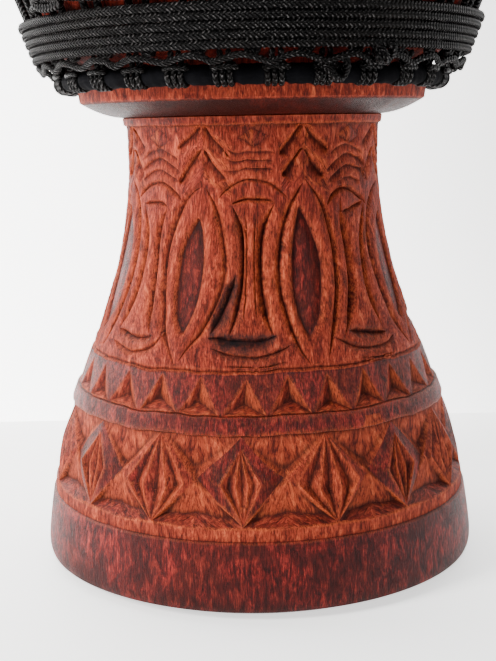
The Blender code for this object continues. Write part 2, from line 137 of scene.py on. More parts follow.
def outer_radius(z):
    """The outline of the turned wood, before any carving, at height z."""
    if z <= FOOT_BEVEL:
        return FOOT_RADIUS - FOOT_ROUND - FOOT_BEVEL_WIDTH * (1 - z / FOOT_BEVEL)
    if z <= STRIP_Z:
        share = (z - FOOT_BEVEL) / (STRIP_Z - FOOT_BEVEL)
        rounded = FOOT_ROUND * math.exp(-share * 12)
        return FOOT_RADIUS + BASE_SWELL - rounded - (BASE_TAPER + BASE_SWELL) * share**1.3
    if z <= WAIST_Z:
        share = (z - STRIP_Z) / (WAIST_Z - STRIP_Z)
        flare = (1 + math.cos(math.pi * share**FLARE_POWER)) / 2
        return WAIST_RADIUS + (FLARE_RADIUS - WAIST_RADIUS) * flare
    if z <= LEDGE_Z:
        return WAIST_RADIUS + COLLAR_RELIEF * ((z - WAIST_Z) / (LEDGE_Z - WAIST_Z)) ** 2
    if z <= RIM_Z:
        neck = WAIST_RADIUS + COLLAR_RELIEF
        return neck + (LEDGE_RADIUS - neck) * ((z - LEDGE_Z) / (RIM_Z - LEDGE_Z)) ** (1 / LEDGE_POWER)
    if z <= BEVEL_Z:
        return LEDGE_RADIUS + RIM_LEAN * (z - RIM_Z) / (BEVEL_Z - RIM_Z)
    if z <= SEAT_Z:
        rim = LEDGE_RADIUS + RIM_LEAN
        return rim + (SEAT_RADIUS - rim) * (z - BEVEL_Z) / (SEAT_Z - BEVEL_Z)
    if z <= BOWL_Z:
        return SEAT_RADIUS
    return SEAT_RADIUS + (HEAD_RADIUS - SEAT_RADIUS) * swell((z - BOWL_Z) / (TOP_Z - BOWL_Z))


def on_drum(angle, radius, z):
    """The place at this angle round the drum, this far from its axis and this high."""
    turn = math.radians(angle)
    return np.array((radius * math.sin(turn), -radius * math.cos(turn), z))


def wave(seed, angle, size):
    """Smooth noise from -1 to 1 round the drum, without a seam; size is in waves for each turn."""
    turn = math.radians(angle)
    reach = size / math.tau
    place = Vector((math.sin(turn) * reach + seed * 7.3, math.cos(turn) * reach, seed * 3.1))
    return noise.noise(place) * 1.6


class Chart:
    """The carved wood laid flat: lines of (angle, height, depth), and areas with their own finish."""

    MM_PER_DEGREE = 1.75

    def __init__(self):
        self.points = []
        self.edges = []
        self.known = {}
        self.areas = []

    def add(self, angle, z, depth):
        key = (round(angle, 2), round(z, 2))
        if key not in self.known:
            self.known[key] = len(self.points)
            self.points.append((angle, z, depth))
        return self.known[key]

    def line(self, points):
        """A carved edge through (angle, z, depth), cut off at the seam at the back."""
        for start, end in zip(points, points[1:]):
            start, end = np.array(start, float), np.array(end, float)
            for seam in (-SEAM, SEAM):
                if (start[0] - seam) * (end[0] - seam) < 0:
                    crossing = start + (end - start) * (seam - start[0]) / (end[0] - start[0])
                    crossing[0] = seam
                    if abs(start[0]) > SEAM:
                        start = crossing
                    else:
                        end = crossing
            if abs(start[0]) > SEAM or abs(end[0]) > SEAM:
                continue
            across = end - start
            reach = mm_per_degree((start[1] + end[1]) / 2)
            steps = max(1, round(math.hypot(across[0] * reach, across[1]) / spacing(start[0])))
            places = [self.add(*(start + across * i / steps)) for i in range(steps + 1)]
            self.edges += [(a, b) for a, b in zip(places, places[1:]) if a != b]

    def ring(self, z, depth, columns=0):
        """An edge right round; with columns it has just that many points, to be joined to the plain wood."""
        if columns:
            places = [self.add(-SEAM + 360 * i / columns, z, depth) for i in range(columns + 1)]
            self.edges += list(zip(places, places[1:]))
        else:
            self.line([(angle, z, depth) for angle in (-180, -90, 0, 90, 180)])

    def paint(self, outline, tone, lean=0.0, burn=0.0):
        """A polygon's finish: tone from 0 fresh-cut to 1 polished, its grain's lean, how charred. On some
        carved facets the tone stands in for painted light and shade.
        """
        self.areas.append((np.array([(p[0], p[1]) for p in outline], float), tone, lean, burn))

    def paint_band(self, low, high, tone):
        """One finish right round, between two heights."""
        self.paint([(-SEAM, low), (SEAM, low), (SEAM, high), (-SEAM, high)], tone)

    def triangulate(self, more=()):
        """The points (angle, z, depth), with any more, in triangles that keep the carved edges."""
        points = self.points + list(more)
        flat = [Vector((p[0] * self.MM_PER_DEGREE, p[1])) for p in points]
        places, edges, faces, sources, from_edges, _ = delaunay_2d_cdt(flat, self.edges, [], 0, 1e-5)
        near = KDTree(len(points))
        for i, place in enumerate(flat):
            near.insert((*place, 0), i)
        near.balance()
        surface = []
        for place, source in zip(places, sources):
            if source:
                surface.append(points[source[0]])
            else:
                depth = points[near.find((*place, 0))[1]][2]
                surface.append((place.x / self.MM_PER_DEGREE, place.y, depth))
        return surface, faces, [edge for edge, source in zip(edges, from_edges) if source]


def mm_per_degree(z):
    """How far round the wood one degree is at this height."""
    return outer_radius(z) * math.pi / 180


def spacing(angle):
    """How far apart the carved mesh's points are, in millimetres."""
    return FINE if abs(angle) < FRONT else COARSE


def refine(chart):
    """The chart in fine triangles that keep its carved edges: points (angle, z, depth) and faces."""
    coarse, faces, carved = chart.triangulate()
    chart.points, chart.edges = coarse, carved
    scale = chart.MM_PER_DEGREE
    tree = BVHTree.FromPolygons([(a * scale, z, d) for a, z, d in coarse], faces)
    near = KDTree(len(coarse))
    for i, (a, z, _) in enumerate(coarse):
        near.insert((a * math.radians(outer_radius(z)), z, 0), i)
    near.balance()
    draw = random.Random(11)
    sideways, row_height, least_gap, seam_gap, above = 0.2, 0.866, 0.62, 0.3, 50
    fill = []
    row, z = 0, CHART_LOW + 0.6
    while z < LEDGE_Z - 0.5:
        reach = mm_per_degree(z)
        angle = -SEAM + draw.random() * 0.5
        while angle < SEAM:
            step = spacing(angle)
            if step == FINE or row % 2 == 0:
                a = angle + draw.uniform(-sideways, sideways) * step / reach
                y = z + draw.uniform(-sideways, sideways) * step
                gap = near.find((a * math.radians(outer_radius(y)), y, 0))[2]
                if gap > step * least_gap and abs(a) < SEAM - seam_gap:
                    hit = tree.ray_cast(Vector((a * scale, y, above)), Vector((0, 0, -1)))[0]
                    if hit:
                        fill.append((a, y, hit.z))
            angle += step / reach
        z += FINE * row_height
        row += 1
    surface, fine_faces, _ = chart.triangulate(fill)
    return np.array(surface), np.array(fine_faces)


def with_ends(points):
    """The points of an open path, carried on by one at each end."""
    return np.vstack([2 * points[0] - points[1], points, 2 * points[-1] - points[-2]])


def smooth_step(p0, p1, p2, p3, pieces):
    """The places on a smooth path from p1 up to p2, between its neighbours p0 and p3."""
    return [0.5 * (2 * p1 + (p2 - p0) * t + (2 * p0 - 5 * p1 + 4 * p2 - p3) * t * t
                   + (3 * p1 - p0 - 3 * p2 + p3) * t**3) for t in np.arange(pieces) / pieces]


def curve(points, step=2.0):
    """Drawn (angle, z) points joined by a smooth line, about a step apart in millimetres."""
    points = np.array(points, float)
    padded = with_ends(points)
    path = []
    for p0, p1, p2, p3 in zip(padded, padded[1:], padded[2:], padded[3:]):
        pieces = max(2, round(math.hypot((p2[0] - p1[0]) * 1.6, p2[1] - p1[1]) / step))
        path += smooth_step(p0, p1, p2, p3, pieces)
    path.append(points[-1])
    return np.array(path)


def groove(chart, points, width, depth, middle=0.0, burn=0.0, blunt=5, skew=0.0):
    """A cut along a drawn line: its bottom, and a lip on each side, that close at its ends.

    A blunt cut reaches its full width close to its ends. With skew, the wall below it is drawn out
    into a long slope and the one above is steep.
    """
    path = curve(points)
    path[:, 0] += middle
    reach = np.array([mm_per_degree(z) for z in path[:, 1]])
    along = np.gradient(path, axis=0) * np.stack([reach, np.ones(len(path))], 1)
    along /= np.linalg.norm(along, axis=1)[:, None]
    share = np.linspace(0, 1, len(path))
    inward = np.minimum(share, 1 - share)
    wide = 0.5 * GROOVE_SPREAD * width * np.clip(blunt * inward, 0, 1) ** 0.8
    shallow = np.clip(blunt * inward + 0.15, 0, 1)
    bottom = [(a, z, LIP + (depth - LIP) * s) for (a, z), s in zip(path, shallow)]
    sides = []
    skew *= -np.sign(path[-1, 0] - path[0, 0])
    for side in (-1, 1):
        off = np.stack([-along[:, 1] / reach, along[:, 0]], 1) * (side * wide * (1 + side * skew))[:, None]
        shoulder = [(a, z, LIP + SHOULDER_DEPTH * (low[2] - LIP))
                    for (a, z), low in zip(path + SHOULDER_OUT * off, bottom)]
        chart.line([bottom[0]] + shoulder[1:-1] + [bottom[-1]])
        sides.append([(a, z, LIP) for a, z in path[1:-1] + off[1:-1]])
    chart.line(bottom)
    for side in sides:
        chart.line([bottom[0]] + side + [bottom[-1]])
    outline = [bottom[0]] + sides[0] + [bottom[-1]] + sides[1][::-1]
    chart.paint(outline, 0.5 if burn else 0.15, 0, burn)


def all_round(front, count, seam_on_place):
    """The places measured at the front, and more, evenly spaced, round the back to the seam."""
    pitch = 360 / count
    ends = 0.0 if seam_on_place else 0.5
    left = round((front[0] + SEAM) / pitch - ends)
    right = count - len(front) - left + (1 if seam_on_place else 0)
    places = [-SEAM + (front[0] + SEAM) * (i + ends) / (left + ends) for i in range(left)]
    places += front
    places += [front[-1] + (SEAM - front[-1]) * (i + 1) / (right + ends) for i in range(right)]
    return places


def drawing_at(place, index, front):
    """Which of the three drawings a place gets: its own at the front, and each in turn elsewhere."""
    if place in front:
        return (2, 0, 1)[front.index(place)]
    return 1 if abs(place) == SEAM else index % 3


def carve_diamonds(chart):
    """Tall diamonds tip to tip: fluted ones and flat-faced ones in turn, with sunk triangles between."""
    draw = random.Random(3)
    front = [-51.0, -28.0, -5.0, 18.0, 40.5]
    middles = all_round(front, DIAMONDS, False)
    joints = [-SEAM] + [(a + b) / 2 for a, b in zip(middles, middles[1:])] + [SEAM]
    first_flat = middles.index(front[0]) % 2
    side_z, heel_z, waist_z, sunk = 75.5, 57, 72, 4.8
    chart.ring(RAISED_Z, 0.3)
    tips = []
    for i, middle in enumerate(middles):
        left, right = joints[i], joints[i + 1]
        top = (middle + draw.uniform(-0.5, 0.5), RAISED_Z - 0.4, 0.1)
        foot = (middle + draw.uniform(-0.4, 1.2), DIAMOND_Z + 1.0, 0.2)
        tips.append((top, foot))

        def across(u, lift, depth):
            reach = (middle - left) if u < 0 else (right - middle)
            return (middle + u * reach, side_z + lift, depth)

        flat = i % 2 == first_flat
        fall = 3.2 if flat else 1.8
        outline = [top, across(-0.97, 0, fall), foot, across(0.97, 0, fall)]
        chart.line(outline + [top])
        if flat:
            chart.paint(outline, 0.95)
            tip = (top[0] + draw.uniform(-0.3, 0.3), RAISED_Z - 6.5, 0.2)
            toe = (foot[0], foot[1] + 1.2, 0.5)
            inner = [tip, across(-0.47, -2, -0.3), toe, across(0.47, -2, -0.3)]
            chart.line(inner + [tip])
            chart.paint(inner, 0.2)
            for u, depth in ((-0.31, 2.7), (-0.16, 0.8), (0.0, 2.9), (0.15, 0.7), (0.3, 2.6)):
                chart.line([tip, across(u, -3 + draw.uniform(-1.5, 1.5), depth), toe])
        else:
            chart.paint(outline, 0.35)
            petals = 4
            for k in range(1, 2 * petals):
                u = k / petals - 1 + draw.uniform(-0.03, 0.03)
                rising = k % 2
                drop = -8 * (1 - abs(u)) ** 0.8
                mid = across(u, drop, 0.0 if rising else 3.4)
                chart.line([top, mid, foot])
                if rising:
                    valley = k / petals - 1
                    left_edge = across(valley - 1 / petals, drop, 0)
                    right_edge = across(valley + 1 / petals, drop, 0)
                    # Painted light and shade: each flute is painted bright left of its ridge and darker
                    # right of it, by a tone chosen at random.
                    chart.paint([top, left_edge, foot, mid], 0.1, 5)
                    chart.paint([top, mid, foot, right_edge], draw.choice((0.35, 0.6, 0.85)), -5)
    for i, joint in enumerate(joints):
        pit_z = RAISED_Z - 17 + draw.uniform(-1.5, 1.5)
        down = ((RAISED_Z, 0.3), (RAISED_Z - 1, 0.8), (pit_z, sunk), (side_z, 2.8), (waist_z, 1.5),
                (heel_z, 5.2), (DIAMOND_Z + 0.2, 0.0))
        chart.line([(joint, z, depth) for z, depth in down])
        for k, way in ((i - 1, 1), (i, -1)):
            if not 0 <= k < len(tips):
                continue
            top, foot = tips[k]
            chart.line([(top[0] + way * 1.6, RAISED_Z - 1.2, 0.5), (joint - way * 0.9, pit_z, sunk - 0.2)])
            heel = (foot[0] + way * 2.6, 55.0, 3.9)
            chart.line([(joint - way * 0.45, 72.5, 1.6), heel])
            chart.line([foot, heel, (joint, heel_z, 5.2)])
            chart.paint([top, (joint, RAISED_Z, 0), (joint, side_z, 0)], 0.06, way * 10)
            chart.paint([(joint, side_z, 0), foot, (joint, DIAMOND_Z, 0)], 0.04, way * 14)
            chart.paint([foot, heel, (joint, heel_z, 0), (joint, DIAMOND_Z, 0)], 0.5, way * 60)


def carve_raised_band(chart):
    """A plain polished band, with one pale chip at the front."""
    chart.ring(RAISED_Z + 0.5, -RAISED_RELIEF + 0.3)
    chart.ring(RAISED_Z + 1.4, -RAISED_RELIEF)
    chart.ring(TRIANGLE_Z - 1.2, -RAISED_RELIEF)
    chart.ring(TRIANGLE_Z - 0.2, -RAISED_RELIEF + 0.3)
    chart.paint_band(RAISED_Z, TRIANGLE_Z, 0.95)
    chart.paint([(29.5, 98.5), (36.5, 98.5), (36.0, 104), (31.0, 104.5)], 0.0)


def carve_triangles(chart):
    """A row of three-sided chip-cut pits, point up, between polished triangles that point down."""
    draw = random.Random(5)
    tips = all_round([-51.0, -37.0, -24.0, -11.0, 3.0, 15.5, 28.0, 40.0, 53.0], TRIANGLES, True)
    low, high = TRIANGLE_Z + 0.6, PANEL_Z - 1.5
    chart.ring(TRIANGLE_Z, 0.5)
    chart.ring(PANEL_Z, 0.4)
    chart.paint_band(TRIANGLE_Z, PANEL_Z, 0.9)
    for left, right in zip(tips, tips[1:]):
        apex = ((left + right) / 2 + draw.uniform(-0.7, 0.7), high + draw.uniform(-1, 0.6), 0.1)
        pit = (apex[0] + draw.uniform(-0.8, 0.8), TRIANGLE_Z + 6 + draw.uniform(-1, 1.5), 4.2)
        start, end = (left + 0.5, low, 0.2), (right - 0.5, low, 0.2)
        chart.line([start, apex, end, start])
        for corner in (start, apex, end):
            chart.line([corner, pit])
        chart.paint([start, apex, end], 0.12)
        # The three facets' tones are painted light and shade: the upper right facet bright, the upper left
        # and the bottom ones darker.
        chart.paint([start, apex, pit], 0.3 + draw.uniform(-0.1, 0.3), 14)
        chart.paint([pit, apex, end], 0.02, -14)
        chart.paint([start, pit, end], 0.35, 75)


# Drawn from the two almonds at the front, as (angle, z) from each one's middle.
ALMONDS = (
    {
        "left": [(0.3, 231), (-2.5, 225), (-5, 219.5), (-8, 210), (-10, 200), (-11.2, 190), (-11.7, 180),
                 (-11.3, 170), (-9.8, 160), (-8.2, 150), (-6, 140), (-3.5, 132.5)],
        "right": [(1.2, 232.5), (5, 227), (8.8, 219), (11, 208), (12.2, 196), (12, 185), (10.9, 172),
                  (9, 162), (7, 152), (4.6, 142), (2.8, 135)],
        "eye": [(-2.2, 219.5), (0.8, 214), (3.8, 206), (6.3, 196), (6.9, 185), (5.8, 172), (3.8, 160),
                (0.6, 150.5), (-2.8, 144.5), (-5.2, 151), (-7.1, 162), (-7.7, 174), (-7.2, 186), (-6.2, 197),
                (-4.6, 208)],
    },
    {
        "left": [(3, 229), (-1, 226.5), (-5, 221), (-8.5, 213), (-11, 204), (-12.6, 194), (-12.6, 184),
                 (-11.6, 172), (-10, 160), (-8.2, 149), (-5, 140), (-2.5, 133)],
        "right": [(4.5, 229), (8.5, 220), (10.8, 210), (12.2, 200), (13.2, 190), (13, 180), (11.8, 171),
                  (9.5, 161), (6, 151), (1.5, 142), (-1.5, 134)],
        "eye": [(1.5, 213.5), (3.6, 205), (4.7, 192), (4.5, 178), (3.2, 165), (1, 155), (-1.5, 147.5),
                (-3.6, 151), (-5.2, 159), (-6.1, 170), (-6.3, 184), (-5.2, 196), (-2.5, 205)],
    },
)


def carve_almond(chart, middle, kind):
    """An almond: a groove down each side, a raised ring, and a polished eye sunk in it."""
    shape = ALMONDS[kind]
    deep = (3.7, 3.0)[kind]
    groove(chart, shape["left"], 3.9, deep, middle=middle)
    groove(chart, shape["right"], 3.0, deep, middle=middle)
    eye = curve(shape["eye"] + shape["eye"][:1])
    centre = np.array(shape["eye"]).mean(0)
    outline = shape["left"] + shape["right"][::-1]
    chart.paint([(middle + a, z) for a, z in outline], 0.2, 3)
    floor_share = 0.84
    for share, depth in ((1.12, 0.0), (1.0, 0.6), (floor_share, 2.5), (0.35, 1.9)):
        ring = [(middle + centre[0] + (a - centre[0]) * share,
                 centre[1] + (z - centre[1]) * (0.45 + 0.55 * share), depth) for a, z in eye]
        chart.line(ring)
        if share == floor_share:
            chart.paint(ring, 0.97)


# Drawn from the three hourglasses at the front. A line is its (angle, z) points, width, depth and burn.
HOURGLASSES = (
    {
        "lines": [
            ([(9.3, 219.5), (6.5, 212), (4.6, 205), (3.4, 195), (3.1, 185), (3.3, 175), (4.2, 165),
              (5.4, 155), (6.8, 148)], 4.4, 4.9, 0),
            ([(-8.5, 219), (-6.3, 211), (-4.6, 203), (-4, 193), (-4.2, 183), (-4.9, 174), (-6.2, 164),
              (-7.6, 155), (-9, 148)], 3.8, 4.8, 0.25),
            ([(-9.3, 220), (-5, 221.6), (0, 222.3), (5, 221.6), (9.6, 219.8)], 2.4, 3.2, 0),
            ([(-15.5, 148), (-10, 146.4), (-3, 145.2), (4, 146), (7.6, 148.6)], 5.0, 5.0, 0.75),
            ([(-3.1, 214), (-2.7, 195), (-3.1, 175), (-4.2, 156)], 2.0, 2.4, 0),
            ([(1.7, 213), (0.9, 200), (0.7, 180), (1.2, 156)], 1.6, 1.8, 0),
            ([(-7.2, 181), (-9.2, 171), (-11.6, 160), (-14.5, 149.5)], 4.2, 5.0, 0.9),
            ([(15.8, 221), (11, 227), (6, 231.2), (1, 233), (-5, 232.2), (-10, 228.6), (-14, 222)],
             2.0, 2.2, 0),
            ([(-14, 142.5), (-7, 138.4), (1, 137.6), (8, 139.8), (12.5, 144)], 2.6, 2.6, 0.35),
            ([(-10, 134.0), (-3, 132.6), (5, 132.9), (11, 135)], 2.0, 1.6, 0.1),
        ],
        "figure": [(-7.5, 217), (-3.4, 200), (-3.4, 180), (-7, 152), (5.4, 152), (2.4, 180), (2.8, 200),
                   (8, 217)],
    },
    {
        "lines": [
            ([(-7.4, 220), (-6.8, 208), (-6.1, 195), (-6.3, 185), (-7.3, 174), (-9.6, 163), (-12.6, 153),
              (-15.5, 146.5)], 3.8, 4.4, 0),
            ([(8.8, 218), (5.6, 206), (3.2, 195), (2, 184), (1.3, 172), (1.8, 160), (3.3, 148)],
             3.0, 3.8, 0),
            ([(-15.2, 216.5), (-11.5, 222.6), (-6, 225.8), (0, 225), (6, 221.4), (11, 216)], 2.8, 3.2, 0),
            ([(-6.8, 212.5), (-2, 213.5), (3, 216.2), (8.4, 218.4)], 2.4, 3.0, 0),
            ([(-13.5, 149), (-7, 146.2), (0, 144.2), (5, 145)], 4.2, 4.2, 0.25),
            ([(-19.5, 146.5), (-13, 140.6), (-6, 137.2), (2, 137.4), (9, 142)], 2.8, 2.6, 0.1),
            ([(-11, 133.5), (-3, 131.8), (6, 133)], 2.0, 1.5, 0),
        ],
        "figure": [(-4.5, 211), (-4.6, 190), (-8.5, 153), (2, 149), (0.4, 172), (1.6, 195), (6.5, 215)],
    },
    {
        "lines": [
            ([(6.8, 218), (2.8, 206), (2.4, 195), (3.0, 185), (3.5, 175), (4, 165), (4.9, 155),
              (6.6, 146.5)], 3.4, 3.6, 0),
            ([(-8.4, 218), (-5.7, 206), (-4.8, 195), (-5, 183), (-6, 170), (-8, 158), (-10.5, 147.5)],
             3.0, 3.6, 0),
            ([(-14.5, 221), (-8, 227.6), (-1, 231), (6, 230), (11, 226), (15.5, 220)], 2.6, 2.6, 0),
            ([(-8.6, 218.6), (0, 220), (7, 218.6)], 2.2, 2.4, 0),
            ([(-11, 147.5), (-3, 144.2), (4, 145), (8, 148)], 4.0, 3.6, 0.1),
            ([(-12.5, 141), (-4, 136.8), (3, 137.4), (8.4, 142), (12.5, 149)], 2.8, 2.6, 0),
        ],
        "figure": [(-6.8, 215), (-3.6, 195), (-6.8, 160), (-8, 151), (4, 151), (2, 175), (1, 195), (5, 215)],
    },
)


def carve_hourglass(chart, middle, kind):
    """A raised hourglass in a deep groove, in an arched frame, over a curved sill."""
    shape = HOURGLASSES[kind]
    chart.paint([(middle + a, z) for a, z in shape["figure"]], 0.12)
    at_front = abs(middle) < 60
    for points, width, depth, burn in shape["lines"]:
        groove(chart, points, width, depth, middle=middle, burn=burn if at_front else 0.0)


def carve_panels(chart):
    """Almonds and hourglasses in turn, with a line under them."""
    chart.paint_band(PANEL_Z, CHEVRON_Z, 0.24)
    groove(chart, [(-178, 130.6), (-90, 131), (-30, 130.4), (20, 131.2), (90, 130.6), (178, 131)], 2.0, 1.6)
    front = [-46.0, -1.0, 46.0]
    hourglasses = all_round(front, ALMOND_COUNT, True)
    for i, (left, right) in enumerate(zip(hourglasses, hourglasses[1:])):
        if left == front[1]:
            carve_almond(chart, 20.5, 0)
        elif right == front[1]:
            carve_almond(chart, -25.0, 1)
        else:
            carve_almond(chart, (left + right) / 2 - 1.0, i % 2)
    for i, place in enumerate(hourglasses):
        carve_hourglass(chart, place, drawing_at(place, i, front))


# The ribs over the hourglasses and the chevrons over the almonds: points, width and depth.
RIPPLES = (
    [([(-12.5, 251.2), (-8, 247.4), (-2, 248.2), (4, 247.8), (9, 247.0)], 2.4, 1.8),
     ([(-13, 245.6), (-8, 242.8), (-3, 243.8), (4, 243.2), (8.6, 242.2)], 2.4, 1.9),
     ([(-13.5, 238.4), (-8, 237.8), (-3, 239.2), (4, 238.8), (8.6, 237.4)], 2.4, 1.9)],
    [([(-14, 236.5), (-6, 242.4), (0, 245), (8, 243), (13, 238)], 3.0, 2.6),
     ([(-14, 230), (-6, 236), (0, 238.6), (9, 237), (14, 232)], 3.0, 2.6),
     ([(-12, 245.6), (-7, 248.8), (-1, 250.2), (6, 248.4), (11, 245)], 2.4, 1.8),
     ([(-8, 229.6), (0, 232), (8, 230)], 2.2, 1.8)],
    [([(-13, 237), (-7, 241.8), (0, 244.4), (8, 241), (13, 235.4)], 2.8, 2.2),
     ([(-12, 232), (-6, 236.4), (0, 238), (8, 235), (12, 231)], 2.6, 2.0),
     ([(-12, 243.6), (-6, 247.8), (1, 249.6), (8, 247), (12, 243.6)], 2.4, 1.6)],
)

CHEVRONS = (
    [([(-0.2, 262.5), (-5, 254.5), (-10.5, 246)], 4.4, 3.0),
     ([(-0.2, 249.6), (-4.4, 242.4), (-9.4, 234)], 4.4, 3.2),
     ([(0.4, 262.0), (6, 255.4), (12.5, 248.4)], 4.2, 2.9),
     ([(0.2, 249.4), (5.2, 241.6), (10.5, 233.4)], 4.6, 3.3)],
    [([(0.5, 262.5), (5.5, 254), (11.5, 245.4)], 3.2, 2.4),
     ([(0, 249.6), (4.5, 241), (10, 232.6)], 3.4, 2.6),
     ([(-0.8, 262.5), (-6, 256.4), (-12.5, 250.4)], 3.0, 2.2),
     ([(-1.2, 249.6), (-5, 243.4), (-9, 236.6), (-12, 231)], 3.4, 2.6)],
)


def carve_chevrons(chart):
    """Nested chevrons over each almond, ribs over each hourglass, small diamonds at the top."""
    front = [-44.5, 0.0, 45.5]
    middles = all_round(front, ALMOND_COUNT, True)
    chart.paint_band(CHEVRON_Z, COLLAR_Z, 0.22)
    for i, (left, right) in enumerate(zip(middles, middles[1:])):
        peak, kind = (left + right) / 2, i % 2
        if right == front[1]:
            peak, kind = -21.5, 1
        if left == front[1]:
            peak, kind = 21.0, 0
        for z in (262, 252, 242):
            # Painted light and shade: each chevron's right arms are painted lighter than its left ones.
            for reach, tone, lean in ((12, 0.02, -35), (-10, 0.4, 35)):
                arm = [(peak, z), (peak, z - 8), (peak + reach, z - 18), (peak + reach, z - 10)]
                chart.paint(arm, tone, lean)
        for points, width, depth in CHEVRONS[kind]:
            groove(chart, points, width * 1.35, depth + 0.7, middle=peak, blunt=10, skew=0.5)
    for i, place in enumerate(middles):
        for points, width, depth in RIPPLES[drawing_at(place, i, front)]:
            groove(chart, points, width * 1.4, depth * 0.95, middle=place, blunt=7, skew=0.45)
        for side in (-1, 1):
            top, foot, heart = (place, 261.4, 1.2), (place + 0.4, 250.8, 1.4), (place, 256.2, -0.3)
            tip = (place + side * 6.6, 256.0, 1.6)
            chart.line([top, tip, foot])
            chart.line([top, heart, foot])
            chart.line([heart, tip])
            # Painted light and shade: each small diamond's left half is painted light, its right half
            # darker.
            chart.paint([top, tip, foot], 0.0 if side < 0 else 0.6, side * 20)
    chart.ring(COLLAR_Z + 0.6, 0.8)
    chart.ring(COLLAR_Z + 1.4, -COLLAR_RELIEF + 0.3)
    chart.ring(LEDGE_Z - 0.5, -COLLAR_RELIEF)
    chart.ring(LEDGE_Z, 0.0, COLUMNS)
    chart.paint_band(COLLAR_Z + 0.6, LEDGE_Z + 1, 0.45)


def inside(polygon, angles, heights):
    """Which of the places lie inside the polygon."""
    hit = np.zeros(len(angles), bool)
    for (a0, z0), (a1, z1) in zip(polygon, np.roll(polygon, -1, axis=0)):
        if z0 == z1:
            continue
        crosses = (z0 > heights) != (z1 > heights)
        hit ^= crosses & (angles < (a1 - a0) * (heights - z0) / (z1 - z0) + a0)
    return hit


def plain_profile():
    """(radius, z) from the top of the collar up over the bowl, down the inside and round the foot."""
    heights = [LEDGE_Z + (RIM_Z - LEDGE_Z) * (i / 14) ** 2 for i in range(1, 15)]
    heights += [277.5, 278.5, 281, 283.6, 284.4, 285.2, 286.4, 290, 294, 298.5, 300, 302, 305, 309, 314]
    heights += list(np.linspace(320, 594, 26))
    profile = [(outer_radius(z), z) for z in heights]
    for turn in (0.4, 0.8, 1.2):
        radius = HEAD_RADIUS - BEARING_ROUND * (1 - math.cos(turn))
        profile.append((radius, TOP_Z - BEARING_ROUND + BEARING_ROUND * math.sin(turn)))
    rim = HEAD_RADIUS - BOWL_WALL
    profile += [(162.0, TOP_Z), (rim + 3, TOP_Z), (rim, TOP_Z - 3)]
    for share in (0.85, 0.7, 0.55, 0.4, 0.28, 0.18, 0.1, 0.05, 0.02):
        radius = THROAT_RADIUS + (rim - THROAT_RADIUS) * swell(share)
        profile.append((radius, BOWL_Z + share * (TOP_Z - BOWL_Z)))
    profile += [(THROAT_RADIUS, 297), (THROAT_RADIUS, 270)]
    mouth = FOOT_RADIUS - FOOT_WALL
    for share in (1.0, 0.88, 0.76, 0.64, 0.52, 0.4, 0.28, 0.16, 0.06):
        bell = (1 + math.cos(math.pi * share**BELL_POWER)) / 2
        profile.append((THROAT_RADIUS + (mouth - THROAT_RADIUS) * bell, THROAT_LOW * share))
    profile += [(mouth, 1.0), (mouth + 1.2, 0.0), (mouth + 4, 0.0)]
    heights = (0, 2.5, 4.6, 5.6, 7, 9, 12, 16, 20, 24, 28, 32, 36, 39.5, 41.6, 42.4)
    profile += [(outer_radius(z), z) for z in heights]
    profile.append((outer_radius(42.8) - 0.35, 42.9))
    return profile


def grid_quads(index, closed):
    """Quads between rows of vertex numbers, each row closed; closed joins the last row to the first."""
    low = index if closed else index[:-1]
    high = np.roll(index, -1, axis=0) if closed else index[1:]
    return np.stack([low, np.roll(low, -1, axis=1), np.roll(high, -1, axis=1), high], -1).reshape(-1, 4)


def halved(quads):
    """Each quad's corners, or numbers kept for them, as those of its two triangles."""
    return np.concatenate([quads[:, [0, 1, 2]], quads[:, [0, 2, 3]]])


